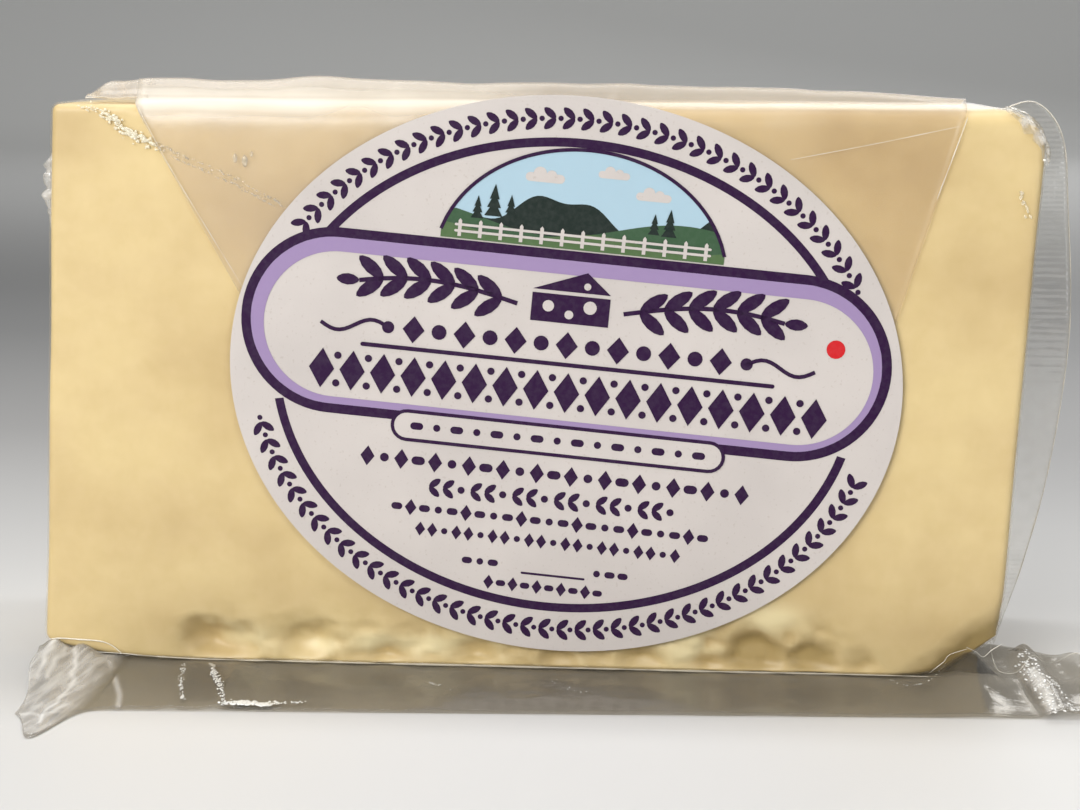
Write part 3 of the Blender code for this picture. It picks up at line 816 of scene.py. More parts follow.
def make_cheese():
    points, faces, painted_shadings = block_mesh(CHEESE_STEP, CHEESE_FOOT_STEP)
    cheese = pouch_piece("cheddar", points, faces, cheese_material())
    store(cheese, "painted_shading", painted_shadings)


def corner_creases(point):
    """Fine creases of the skin, which fan out from the corners of the block."""
    height = 0.0
    for corner_x, corner_z, reach in CREASED_CORNERS:
        dx, dz = point.x / MM - corner_x, point.z / MM - corner_z
        away = math.hypot(dx, dz)
        fan = math.sin(CREASE_FAN * math.atan2(dz, dx) + 3 * grain_at(point, 6 * MM))
        height += max(0.0, 1 - away / reach) * fan
    return height


def make_skin(film):
    """The film drawn tight over the cheese, a little smoother than the cheese is."""
    points, faces, _ = block_mesh(SKIN_STEP, SKIN_FOOT_STEP)
    skin = pouch_piece("pouch_skin", points, faces, film)
    normals = [Vector(vertex.normal) for vertex in skin.data.vertices]
    for vertex, normal in zip(skin.data.vertices, normals):
        place = Vector(vertex.co)
        ripple = CREASE_DEPTH * (0.5 + 0.5 * grain_at(place, CREASE_SIZE))
        crease = CREASE_DEPTH * (0.5 + 0.5 * corner_creases(place))
        moved = place + normal * (SKIN_GAP + ripple + max(0.0, crease) * 0.8)
        moved.z = max(BASE_GAP / 2, moved.z)
        vertex.co = moved


def front_rim(x):
    """The block's lower front edge at a place along it."""
    point, _ = block_point(Vector((x, FRONT, 0.25 * EDGE_RADIUS)))
    return point


def make_crumple(film):
    """Loose film crumpled round the worn upper right corner."""
    middle = Vector((WIDTH / 2 - WORN_CORNER + LEAN * (HEIGHT / 2 - WORN_CORNER), 0.0, HEIGHT - WORN_CORNER))
    gap = 0.05 * MM
    on_face = 0.4

    def surface(along, over):
        turn = math.radians(mix(88, -12, along))
        out = Vector((math.cos(turn), 0.0, math.sin(turn)))
        rim = middle + out * (WORN_CORNER + SKIN_GAP + gap)
        rim.x = min(rim.x, WIDTH / 2 + LEAN * (rim.z - HEIGHT / 2) + SKIN_GAP + gap)
        rim.z = min(rim.z, HEIGHT + SKIN_GAP + gap)
        ends = math.sin(math.pi * along) ** 0.5
        inset = (1.0 + 1.3 * abs(grain(rim.x, 1 * MM, rim.z, 2.2 * MM))) * MM * ends
        reach = (3.0 + 2.5 * grain(rim.x, 5 * MM, rim.z, 3 * MM)) * MM * ends
        if over < on_face:
            place = rim - out * inset * (1 - over / on_face)
            place.y = FRONT - SKIN_GAP - 0.06 * MM
        else:
            place = Vector(rim)
            place.y = FRONT + 0.2 * MM + reach * (over - on_face) / (1 - on_face)
        cell = noise.voronoi(place / (1.7 * MM))[0]
        crest = 1 - min(1.0, 2.0 * (cell[1] - cell[0]))
        push = (0.05 + 0.17 * crest) * MM
        away = (out + Vector((0, -0.6, 0)) * (1 - over)).normalized()
        return place + (OUT_OF_FACE if over < 0.3 else away) * push

    film_sheet("pouch_crumple", surface, CRUMPLE_GRID, patchy(0.04, 0.6, 1.5 * MM), THIN_FILM, film)


# The film that stands off the cheese


def fold_section(x):
    """Height of the folded top and its radius at a place along the block."""
    share = min(1.0, max(0.0, (x - FOLD_ENDS[0]) / (FOLD_ENDS[1] - FOLD_ENDS[0])))
    low = 1 - smooth_step(x, FOLD_ENDS[0], FOLD_ENDS[0] + FOLD_SLOPE)
    top = smooth_value(FOLD_TOPS, share) * MM - FOLD_DROP * low
    return top, smooth_value(FOLD_RADII, share) * MM * (1 - FOLD_PINCH * low)


def fold_profile(x, share, foot):
    """y and z of the film: along the block's top, over the fold, round the edge and down the face."""
    top, radius = fold_section(x)
    drift = 1.2 * MM * grain(x, 0, 0, 9 * MM)
    rest_z = HEIGHT + SKIN_GAP + 0.15 * MM
    middle_z = HEIGHT - TOP_ROUNDING
    low = 0.25 * MM * grain(x, 3 * MM, 0, 6 * MM)
    path = (
        (FRONT + 9.5 * MM + drift, rest_z),
        (FRONT + 6.0 * MM + 0.5 * drift, rest_z + 0.15 * (top - rest_z)),
        (FRONT + 2.7 * MM + radius, mix(rest_z, top, 0.8)),
        (FRONT + 2.0 * MM + 0.5 * radius, top),
        (FRONT + 1.9 * MM, mix(rest_z, top, 0.62)),
        (FRONT + 1.55 * MM, middle_z + 3.0 * MM),
        (FRONT + 0.40 * MM, middle_z + 2.05 * MM + low),
        (FRONT - 0.22 * MM, middle_z + 0.7 * MM + 1.5 * low),
        (FRONT - 0.34 * MM, middle_z - 1.6 * MM + 2 * low),
    )
    if share < FOLD_SHARE:
        place = smooth_path(path, share / FOLD_SHARE)
        return place.x, place.y
    down = (share - FOLD_SHARE) / (1 - FOLD_SHARE)
    return mix(path[-1][0], FRONT - FLAP_PROUD, down), mix(path[-1][1], foot, down)


def fold_milk_and_highlight(place):
    """The fold is milky, with a painted highlight over the edge that is strongest at its left, and the flap
    below it is milky only a little.
    """
    left = 1 - smooth_step(place.x, -16 * MM, 6 * MM)
    uneven = 0.7 + 0.6 * grain_at(place, 8 * MM)
    # band is a painted highlight along the rounded top edge; roll and veil are the film's milky layers
    band = (0.05 + 0.32 * left) * bump(place.z, 64.9 * MM, 1.7 * MM) * uneven
    roll = 0.10 * smooth_step(place.z, 64.6 * MM, 65.8 * MM)
    veil = 0.012 + 0.035 * left + 0.03 * max(0.0, grain_at(place, 12 * MM))
    return band + roll + veil


def make_flap(film, edge):
    """The pouch's top end: it lies on the block's top, rolls over the edge and runs down under the label."""

    def surface(across, share):
        top_x = mix(*FLAP_TOP_ENDS, across)
        y, z = fold_profile(top_x, share, FLAP_FOOT)
        down = max(0.0, (HEIGHT - z) / (HEIGHT - FLAP_NARROWED))
        x = mix(top_x, mix(*FLAP_FOOT_ENDS, across), down)
        ripple = 0.05 * MM * grain(x, 0, z, 7 * MM) * smooth_step(share, 0.3, 0.7)
        crumple = 0.2 * MM * grain(x, y, z, 5 * MM) * (1 - smooth_step(share, 0.3, 0.5))
        return Vector((x, y - max(0.0, ripple), z + crumple))

    film_sheet("pouch_flap", surface, FLAP_GRID, fold_milk_and_highlight, FILM, film, edge)


def make_tuck(film, edge):
    """The pocket of film at the fold's left end."""

    def surface(across, share):
        x = mix(FOLD_ENDS[0], FLAP_TOP_ENDS[0] + 1.5 * MM, across)
        y, z = fold_profile(x, TUCK_SHARE * share, HEIGHT)
        crumple = 0.3 * MM * grain(x, y, z, 3 * MM)
        return Vector((x, y, z + crumple))

    film_sheet("pouch_tuck", surface, TUCK_GRID, patchy(0.12, 0.25, 1.6 * MM), FILM, film, edge)


def seal_wave(z):
    """How far a side edge waves to the back at a height."""
    return SEAL_WAVE * math.sin(2 * math.pi * z / SEAL_WAVE_LENGTH)


def make_seal(name, outline, side, ribs, crinkle, milk_and_highlight_share, film, edge):
    """One sealed side edge of the pouch, ribbed by the sealing bar."""
    root_x = side * (WIDTH / 2 - 0.6 * MM)
    top, foot = outline[0][1] * MM, outline[-1][1] * MM

    def surface(inwards, along):
        rim = smooth_path(outline, along) * MM
        root_z = min(HEIGHT - 3 * MM, max(6 * MM, rim.y))
        x = mix(root_x + LEAN * (root_z - HEIGHT / 2), rim.x, inwards)
        z = mix(root_z, rim.y, inwards)
        wave = seal_wave(z) * inwards
        strength = smooth_step(inwards, 0.1, 0.3) * (0.25 + 0.75 * bump(z, 53 * MM, 11 * MM))
        rib = RIB_DEPTH * ribs * math.sin(2 * math.pi * z / RIB_PITCH) * strength
        rough = crinkle * grain(x, 0, z, 1.1 * MM) * inwards
        bulge = 0.8 * crinkle * grain(0, 7 * MM, z, 0.9 * MM) * inwards
        return Vector((x + bulge, wave + rib + rough, z))

    def milk_and_highlight(place):
        return milk_and_highlight_share + milk_and_highlight_share * grain_at(place, 1.4 * MM)

    rows = round((top - foot) / SEAL_ROW)
    film_sheet(name, surface, (SEAL_COLUMNS, rows), milk_and_highlight, FILM, film, edge)


def skirt_front(x):
    """y of the skirt's front edge."""
    tongue = TONGUE_LENGTH * bump(x, TONGUE_X, TONGUE_WIDTH)
    corner = SKIRT_SLANT * smooth_step(x, SKIRT_ENDS[1] - RIGHT_ROUNDING, SKIRT_ENDS[1])
    return SKIRT_EDGE + SKIRT_SKEW * x - tongue + corner


def skirt_back(x):
    """y of the lower layer's back edge, furthest back in the middle, under the block."""
    beside_right = mix(*RIGHT_BACK, smooth_step(x, RIGHT_TURN[1], SKIRT_ENDS[1]))
    back = mix(SKIRT_BACK, beside_right, smooth_step(x, *RIGHT_TURN))
    return mix(back, LEFT_BACK, smooth_step(-x, *LEFT_TURN))


def skirt_height(x, y):
    """How far the film stands off the floor, with the finer creases of real film."""
    ridge_start = FRONT if x < RIGHT_TENT_X else RIGHT_RIDGE_START
    rise = smooth_step(ridge_start - y, 0, RIDGE_RISE) * mix(1.0, RIDGE_LEFT, smooth_step(-y, *RIDGE_FADE))
    ridges = sum(tall * MM * bump(x, at * MM, half * MM) for at, tall, half in RIDGES) * rise
    down = 1 - smooth_step(-y, -FRONT - 1 * MM, -SKIRT_EDGE - 1 * MM)
    left = smooth_step(-x, *LEFT_TENT_SIDE) * smooth_step(-y, *LEFT_TENT_BACK)
    left *= 1 - 0.6 * smooth_step(-x, LEFT_TENT_SIDE[1] + 1 * MM, -SKIRT_ENDS[0])
    pleat = math.cos(PLEATS * math.atan2(x + WIDTH / 2, -y - LEFT_TENT_BACK[0]))
    left *= 1 - PLEAT_SHARE + PLEAT_SHARE * pleat
    right = bump(x, RIGHT_TENT_X, RIGHT_TENT_WIDTH) * smooth_step(-y, *RIGHT_TENT_BACK)
    end = smooth_step(x, *END_RISE_SIDE) * smooth_step(-y, *END_RISE_FRONT)
    loose = smooth_step(FRONT - y, 0.0, 2 * MM)
    fine = 0.12 * MM * abs(grain(x, 0.25 * y, 0, 1.6 * MM)) * smooth_step(-x, 38 * MM, 46 * MM) * loose
    slack = 0.22 * MM * max(0.0, grain(x, y, 3 * MM, 9 * MM)) * loose
    return ridges + (LEFT_TENT * left + RIGHT_TENT * right) * down + END_RISE * end + fine + slack


def skirt_x(start_x, forward):
    """x at a share of the way forward, as the left end turns towards +X."""
    slant = smooth_step(-start_x, -SLANT_START, -SKIRT_ENDS[0]) * smooth_step(forward, 0, 1)
    return start_x + SKIRT_SLANT * slant


def skirt_start(along):
    """x at the block's side of the skirt, whose columns are closest together where it is most creased."""
    for (low, start), (high, end) in zip(SKIRT_COLUMNS, SKIRT_COLUMNS[1:]):
        if along <= high:
            return mix(start, end, (along - low) / (high - low))
    return SKIRT_ENDS[1]


def skirt_milk_and_highlight(place):
    """The skirt is clear but for its crinkled left end, its creases and the painted highlights along the
    streaks at its right.
    """
    x, y = place.x, place.y
    tuft = smooth_step(-x, 46.5 * MM, 50 * MM) * smooth_step(-y, 12.5 * MM, 15.5 * MM)
    if tuft > 0:
        bent = x + 0.8 * MM * grain(x, y, 4 * MM, 2.6 * MM)
        fibres = max(0.0, 1 - 5 * abs(grain(x - 0.24 * y, 0.07 * y, 2 * MM, 1.5 * MM)))
        finer = max(0.0, 1 - 4 * abs(grain(x - 0.18 * y, 0.1 * y, 8 * MM, 0.8 * MM)))
        cloud = 0.5 + 0.5 * grain(x, y, 0, 2.4 * MM)
        lines = sum(near_path(bent, y, path, 0.3) for path in TUFT_LINES)
        creased = 0.30 * fibres * cloud + 0.14 * finer + 0.34 * lines * (0.4 + cloud)
        return tuft * (0.10 + 0.14 * cloud + creased)
    crinkle = near_path(x, y, CRINKLE, 0.3) if x < -40 * MM else 0.0
    right = smooth_step(x, 50 * MM, 55 * MM)
    specks = max(0.0, grain(x, y, 0, 0.45 * MM))
    painted_glint_streaks = painted_glint_core = 0.0
    # Painted highlight: white streaks and a bright core where the ridged film would mirror the lamps
    if right > 0:
        painted_glint_streaks = sum(near_path(x, y, path, 0.7) for path in RIGHT_GLINT_STREAKS)
        painted_glint_core = near_path(x, y, RIGHT_GLINT_STREAKS[0][1:], 0.45) * (0.7 + 0.5 * grain(x, y, 6 * MM, 1.5 * MM))
    return 0.012 + 0.22 * crinkle + right * (0.03 + 0.9 * specks * painted_glint_streaks + 0.9 * painted_glint_core)


def make_skirt(shade_tinted_under_film, shade_tinted_upper_film):
    """The bottom end of the pouch, two layers of film tinted darker as painted shade: the lower one, darkest,
    runs on under the block.
    """

    def lower(along, forward):
        start_x = skirt_start(along)
        back = skirt_back(start_x)
        face = min(back, FRONT) - 0.3 * MM
        if forward < COVERED_SHARE:
            y = mix(back, face, forward / COVERED_SHARE)
        else:
            y = mix(face, skirt_front(start_x), (forward - COVERED_SHARE) / (1 - COVERED_SHARE))
        x = skirt_x(start_x, forward)
        return Vector((x, y, FILM + skirt_height(x, y)))

    def upper(along, forward):
        start_x = max(SKIRT_ENDS[0] + 0.5 * MM, skirt_start(along))
        rim = front_rim(max(-WIDTH / 2, min(WIDTH / 2, start_x)))
        back = min(skirt_back(start_x), FRONT - 0.1 * MM)
        y = mix(back, skirt_front(start_x) + 0.25 * MM, forward)
        x = skirt_x(start_x, forward)
        inside = smooth_step(WIDTH / 2 - CHIP_WIDTH - start_x, 0, 3 * MM)
        inside *= smooth_step(start_x, -50 * MM, -46 * MM)
        hang = 0.5 * MM * inside * (1 - smooth_step(forward, 0.0, 0.25)) * min(1.0, rim.z / MM + 0.5)
        buckle = 0.3 * MM * max(0.0, grain(x, y, 9 * MM, 6 * MM)) * smooth_step(forward, 0.05, 0.4)
        return Vector((x, y, UPPER_GAP + skirt_height(x, y) + hang + buckle))

    film_sheet("pouch_skirt_lower", lower, LOWER_GRID, skirt_milk_and_highlight, THIN_FILM, shade_tinted_under_film)
    film_sheet("pouch_skirt_upper", upper, UPPER_GRID, skirt_milk_and_highlight, THIN_FILM, shade_tinted_upper_film)


def make_painted_glints(film):
    """The embossed dots along the skirt's creases, painted white as glints."""
    draw = random.Random(PAINTED_GLINT_SEED)
    points, faces = [], []
    for path, count, spread, low, high in PAINTED_GLINTS:
        for _ in range(count):
            place = smooth_path(path, draw.random()) * MM
            x = place.x + draw.gauss(0, spread) * MM
            y = place.y + draw.gauss(0, 0.6 * spread) * MM
            centre = Vector((x, y, PAINTED_GLINT_GAP + skirt_height(x, y)))
            radius = draw.uniform(low, high) * MM
            reach = Vector((draw.uniform(-0.4, 0.4), -1.0, 0.0)) * radius * draw.uniform(1.0, 1.8)
            add_drop(points, faces, centre, reach, radius, UP, 0.4)
    pouch_piece("pouch_painted_glints", points, faces, film)


def make_seam(film):
    """The crinkled seam that crosses the upper left corner and goes on, fainter, under the flap."""
    draw = random.Random(SEAM_SEED)
    points, faces = [], []
    for i in range(SEAM_DROPS):
        share = i / SEAM_DROPS
        hidden = smooth_step(share, 0.5, 0.58)
        early = 1 - smooth_step(share, 0.15, 0.3)
        if share < SEAM_START or draw.random() < 0.45 * hidden + 0.6 * early:
            continue
        place = smooth_path(SEAM, share) * MM
        side = draw.choice((-1, 1)) * 0.32 * MM * hidden
        aside = side + draw.gauss(0, 1) * mix(0.27, 0.1, hidden) * MM
        radius = draw.uniform(0.06, mix(0.22, 0.12, max(hidden, early))) * MM
        centre = Vector((place.x + 0.45 * aside, FRONT - 0.18 * MM, place.y + 0.9 * aside))
        reach = Vector((radius, 0, -0.45 * radius)) * draw.uniform(0.7, 1.8)
        add_drop(points, faces, centre, reach, radius, OUT_OF_FACE, 0.7)
    for x, z, radius in BUBBLES:
        centre = Vector((x * MM, FRONT - 0.2 * MM, z * MM))
        reach = Vector((0.5 * radius, 0, 0)) * MM
        add_drop(points, faces, centre, reach, radius * MM, OUT_OF_FACE, 0.15)
    for _ in range(WRINKLE_DROPS):
        place = smooth_path(WRINKLE, draw.random()) * MM
        radius = draw.uniform(0.06, 0.18) * MM
        centre = Vector((place.x + draw.gauss(0, 0.18) * MM, FRONT - 0.2 * MM, place.y))
        reach = Vector((0.5, 0, -1)) * 1.5 * radius
        add_drop(points, faces, centre, reach, radius, OUT_OF_FACE, 0.3)
    seam = pouch_piece("pouch_seam", points, faces, film)
    paint_milk_and_highlight(seam, lambda place: mix(0.6, 0.25, smooth_step(place.x, -43 * MM, -40 * MM)))


def smooth_line(points, count):
    """Evenly shared points on the smooth curve through the given ones."""
    return [smooth_path(points, i / count) for i in range(count + 1)]


def foot_line():
    """The taut film along the block's lower front edge, at a running mean of the edge's height."""
    line = []
    for i in range(FOOT_STEPS + 1):
        point = front_rim(mix(FOOT_START, WIDTH / 2 - CHIP_WIDTH - 0.5 * MM, i / FOOT_STEPS))
        line.append(Vector((point.x, FRONT - 0.12 * MM, point.z + 0.05 * MM)))
    heights = [point.z for point in line]
    for i, point in enumerate(line):
        near = heights[max(0, i - FOOT_REACH):i + FOOT_REACH + 1]
        point.z = sum(near) / len(near)
    return line


def loop_line():
    """The film's rounded edge that comes down from the side edge and lies on the skirt."""
    line = smooth_line([Vector((x * MM, y * MM, 0.0)) for x, y in LOOP], LOOP_STEPS)
    for i, point in enumerate(line):
        fallen = smooth_step(i / LOOP_STEPS, 0.0, 0.35)
        point.z = LOOP_GAP + skirt_height(point.x, point.y) + LOOP_RISE * (1 - fallen)
    return line


def seal_line():
    """The rim of the right side edge."""
    places = [smooth_path(RIGHT_SEAL, 0.9 * i / SEAL_STEPS) * MM for i in range(SEAL_STEPS + 1)]
    return [Vector((place.x, seal_wave(place.y), place.y)) for place in places]


def make_edge_highlights(edge):
    """Thin lines where the film is taut, folded or ends, painted bright as highlights."""
    lines = {"seal": seal_line(), "foot": foot_line(), "loop": loop_line()}
    for name, (path, back, steps) in FACE_LINES.items():
        lines[name] = smooth_line([Vector((x * MM, FRONT + back * MM, z * MM)) for x, z in path], steps)
    for name, radius in LINE_RADII.items():
        line = lines[name]
        last = len(line) - 1
        radii = []
        for i, point in enumerate(line):
            uneven = min(1.0, max(0.25, 0.75 + 0.9 * grain_at(point, 2.3 * MM)))
            radii.append(radius * MM * uneven * (0.35 + 0.65 * min(1.0, 6 * min(i, last - i) / last)))
        points, faces = bead(line, radii, UP if name == "loop" else OUT_OF_FACE)
        pouch_piece("film_line_highlight_" + name, points, faces, edge)


# The label


def label_back(x, z):
    """y of the label's back: on the skin at its foot, in front of the flap and its fold at its top."""
    wave = 0.05 * MM * (1 + grain(x, 0, z, 17 * MM))
    return FRONT - 0.42 * MM - 0.25 * MM * smooth_step(z, 52 * MM, 63 * MM) - wave


def on_label(u, v, height):
    """A place on the label, u along its long axis and v up it."""
    x = LABEL_MIDDLE[0] + u * math.cos(LABEL_TILT) + v * math.sin(LABEL_TILT)
    z = LABEL_MIDDLE[1] - u * math.sin(LABEL_TILT) + v * math.cos(LABEL_TILT)
    return Vector((x, label_back(x, z) - height, z))


def ellipse(half_width, half_height, count, start=0.0, end=2 * math.pi, centre=(0.0, 0.0)):
    turns = [mix(start, end, i / count) for i in range(count + 1)]
    return [(centre[0] + half_width * math.cos(t), centre[1] + half_height * math.sin(t)) for t in turns]


def stadium(half_width, half_height, count, centre=(0.0, 0.0)):
    """The outline of a bar with round ends, its last point equal to its first."""
    straight = half_width - half_height
    points = []
    for i in range(2 * count):
        turn = -math.pi / 2 + math.pi * (i if i < count else i - 1) / (count - 1)
        side = 1 if i < count else -1
        u = centre[0] + side * straight + half_height * math.cos(turn)
        points.append((u, centre[1] + half_height * math.sin(turn)))
    return points + points[:1]


def ink_band(bm, outer, inner, layer):
    """A printed band between two outlines with as many points each."""
    for i in range(len(outer) - 1):
        corners = (outer[i], outer[i + 1], inner[i + 1], inner[i])
        bm.faces.new([bm.verts.new((u * MM, v * MM, layer * LAYER)) for u, v in corners])


def ink_shape(bm, outline, layer):
    """A printed patch inside an outline."""
    bm.faces.new([bm.verts.new((u * MM, v * MM, layer * LAYER)) for u, v in outline])


def ink_bar(bm, u, v, half_width, half_height, layer):
    ink_shape(bm, stadium(half_width, half_height, 7, (u, v))[:-1], layer)


def ink_disc(bm, u, v, radius, layer):
    ink_shape(bm, ellipse(radius, radius, 16, centre=(u, v))[:-1], layer)


def ink_diamond(bm, u, v, half_width, half_height, layer):
    corners = ((u + half_width, v), (u, v + half_height), (u - half_width, v), (u, v - half_height))
    ink_shape(bm, corners, layer)


def ink_leaf(bm, u, v, angle, length, width, layer):
    """A pointed leaf that grows from (u, v) in the given direction."""
    outline = []
    for i in range(12):
        turn = 2 * math.pi * i / 12
        along = length * (0.5 - 0.5 * math.cos(turn))
        aside = width / 2 * math.sin(turn) * abs(math.sin(turn)) ** 0.3
        outline.append((u + along * math.cos(angle) - aside * math.sin(angle),
                        v + along * math.sin(angle) + aside * math.cos(angle)))
    ink_shape(bm, outline, layer)


def ink_line(bm, path, width, layer):
    """A printed line along a path."""
    last = len(path) - 1
    left, right = [], []
    for i, (u, v) in enumerate(path):
        du = path[min(last, i + 1)][0] - path[max(0, i - 1)][0]
        dv = path[min(last, i + 1)][1] - path[max(0, i - 1)][1]
        long = math.hypot(du, dv)
        left.append((u - dv / long * width / 2, v + du / long * width / 2))
        right.append((u + dv / long * width / 2, v - du / long * width / 2))
    ink_band(bm, right, left, layer)


def draw_frame(inks):
    """The printed ring, and the banner that lies over it."""
    outer, inner = (ellipse(*size, RING_STEPS) for size in RING)
    for i in range(RING_STEPS):
        if min(abs(outer[k][1] - BANNER_MIDDLE[1]) for k in (i, i + 1)) > RING_GAP:
            ink_band(inks["purple"], outer[i:i + 2], inner[i:i + 2], 1)
    edge = stadium(36.8, 10.6, 40, BANNER_MIDDLE)
    ink_band(inks["purple"], edge, stadium(35.7, 9.5, 40, BANNER_MIDDLE), 2)
    ink_band(inks["lilac"], stadium(35.72, 9.52, 40, BANNER_MIDDLE), stadium(34.5, 8.3, 40, (0.0, 3.6)), 2)


def draw_borders(inks):
    """Leaf borders round the rim, one above the banner and one below it."""
    for start, end in BORDER_ARCS:
        turn = math.radians(start)
        while turn < math.radians(end):
            u, v = BORDER[0] * math.cos(turn), BORDER[1] * math.sin(turn)
            heading = math.atan2(BORDER[1] * math.cos(turn), -BORDER[0] * math.sin(turn))
            for side in (-1, 1):
                ink_leaf(inks["purple"], u, v, heading + side * math.radians(42), 1.75, 0.85, 1)
            ink_disc(inks["purple"], u - 0.55 * math.cos(heading), v - 0.55 * math.sin(heading), 0.3, 1)
            turn += BORDER_PITCH / math.hypot(BORDER[0] * math.sin(turn), BORDER[1] * math.cos(turn))


def draw_banner(inks):
    """What fills the banner: two sprays beside a wedge of cheese, a row of beads, a rule and a bold row."""
    purple = inks["purple"]
    for side in (-1, 1):
        outwards = 0.0 if side > 0 else math.pi
        stem = [(side * mix(6.0, 24.0, i / 20), 8.1 + 1.6 * math.sin(math.pi * i / 24)) for i in range(21)]
        ink_line(purple, stem if side > 0 else stem[::-1], 0.5, 3)
        for i in range(2, 20, 3):
            for turn in (-1, 1):
                ink_leaf(purple, *stem[i], outwards + turn * side * math.radians(38), 3.7, 1.5, 3)
        ink_leaf(purple, *stem[-1], outwards, 2.6, 1.3, 3)
    ink_shape(purple, ((-4.4, 6.4), (4.4, 6.4), (4.4, 9.6), (-4.4, 9.6)), 3)
    ink_shape(purple, ((-4.4, 10.0), (4.4, 10.0), (1.6, 12.3)), 3)
    for u, v, radius in ((-2.5, 8.2, 0.65), (-0.1, 7.4, 0.5), (2.2, 8.4, 0.75), (1.7, 10.75, 0.4)):
        ink_disc(inks["paper"], u, v, radius, 4)
    for i in range(-6, 7):
        if i % 2:
            ink_disc(purple, 2.9 * i, 3.9, 0.85, 3)
        else:
            ink_diamond(purple, 2.9 * i, 3.9, 1.25, 1.55, 3)
    for side in (-1, 1):
        swash = [(side * mix(20.2, 28.0, i / 14), 3.8 + 0.75 * math.sin(math.pi * i / 7)) for i in range(15)]
        ink_line(purple, swash if side > 0 else swash[::-1], 0.45, 3)
        ink_disc(purple, side * 20.3, 3.9, 0.7, 3)
    ink_bar(purple, 0.2, 1.7, 23.5, 0.24, 3)
    for i in range(-8, 9):
        ink_diamond(purple, 0.5 + 3.5 * i, -1.5, 1.45, 2.3, 3)
        if i < 8:
            for v in (-3.1, 0.1):
                ink_disc(purple, 2.25 + 3.5 * i, v, 0.42, 3)
    ink_disc(inks["red"], 30.0, 6.6, 1.05, 3)


def draw_foot(inks):
    """The tab on the banner's lower edge and the rows of small motifs under it."""
    purple = inks["purple"]
    ink_shape(inks["paper"], stadium(18.9, 1.65, 12, TAB_MIDDLE)[:-1], 4)
    ink_band(purple, stadium(19.1, 1.85, 12, TAB_MIDDLE), stadium(18.7, 1.45, 12, TAB_MIDDLE), 5)
    for i in range(-7, 8):
        ink_bar(purple, 2.3 * i, TAB_MIDDLE[1], 0.75 if i % 2 else 0.42, 0.42, 5)
    for v, half_length, pitch, motifs in FOOT_ROWS:
        count = round(2 * half_length / pitch)
        for i in range(count + 1):
            u = -half_length + i * pitch + (2 * half_length - count * pitch) / 2
            motif = motifs[i % len(motifs)]
            if motif == "diamond":
                ink_diamond(purple, u, v, 0.42 * pitch, 0.6 * pitch, 1)
            elif motif == "dash":
                ink_bar(purple, u, v, 0.4 * pitch, 0.25 * pitch, 1)
            elif motif == "dot":
                ink_disc(purple, u, v, 0.26 * pitch, 1)
            elif motif == "leaf":
                for turn in (-1, 1):
                    ink_leaf(purple, u - 0.3 * pitch, v, turn * math.radians(40), pitch, 0.5 * pitch, 1)
    ink_bar(purple, 1.0, -22.9, 3.7, 0.13, 1)


def draw_view(inks):
    """A plain country view in the arch above the banner: hills, firs, clouds and a fence under a pale sky."""
    paper = inks["paper"]
    middle, half_width, tall = ARCH

    def arch(u):
        share = 1 - ((u - middle[0]) / half_width) ** 2
        return middle[1] + tall * math.sqrt(max(0.0, share))

    us = [mix(-15.3, 16.5, i / 64) for i in range(65)]
    floor = [(u, ARCH_FOOT) for u in us]
    ink_band(inks["sky"], floor, [(u, max(ARCH_FOOT, arch(u))) for u in us], 1)
    hills = (
        ("dark", 2, lambda u: 18.6 + 1.7 * math.sin(0.30 * u + 2.3) + 0.5 * math.sin(0.9 * u)),
        ("green", 3, lambda u: 17.3 + 1.3 * math.sin(0.21 * u - 0.9)),
        ("meadow", 4, lambda u: 16.0 + 0.6 * math.sin(0.33 * u + 0.8)),
    )
    for colour, layer, height in hills:
        ink_band(inks[colour], floor, [(u, max(ARCH_FOOT, min(arch(u), height(u)))) for u in us], layer)
    firs = ((-9.6, 17.6, 3.4), (-7.7, 17.4, 2.6), (-11.4, 17.2, 2.4), (8.4, 17.3, 2.2), (10.1, 17.2, 2.9))
    for u, v, size in firs:
        for k in range(3):
            level, half = v + size * 0.28 * k, size * (0.3 - 0.07 * k)
            ink_shape(inks["dark"], ((u - half, level), (u + half, level), (u, level + 0.5 * size)), 5 + k)
    for u, v, size in ((-4.2, 22.4, 1.0), (3.4, 23.4, 0.8), (8.0, 21.4, 0.9)):
        ink_bar(paper, u, v, 2.2 * size, 0.5 * size, 2)
        ink_disc(paper, u - 0.6 * size, v + 0.45 * size, 0.75 * size, 3)
        ink_disc(paper, u + 0.7 * size, v + 0.3 * size, 0.6 * size, 4)
    for i in range(13):
        u = -13.2 + 2.3 * i
        ink_shape(paper, ((u - 0.2, 15.0), (u + 0.2, 15.0), (u + 0.2, 16.75), (u, 17.0), (u - 0.2, 16.75)), 8)
    for v in (15.6, 16.3):
        ink_bar(paper, 0.6, v, 14.4, 0.14, 9)
    rim = [(u, arch(u)) for u in us if arch(u) > ARCH_FOOT]
    ink_line(inks["purple"], rim[::-1], 0.4, 5)


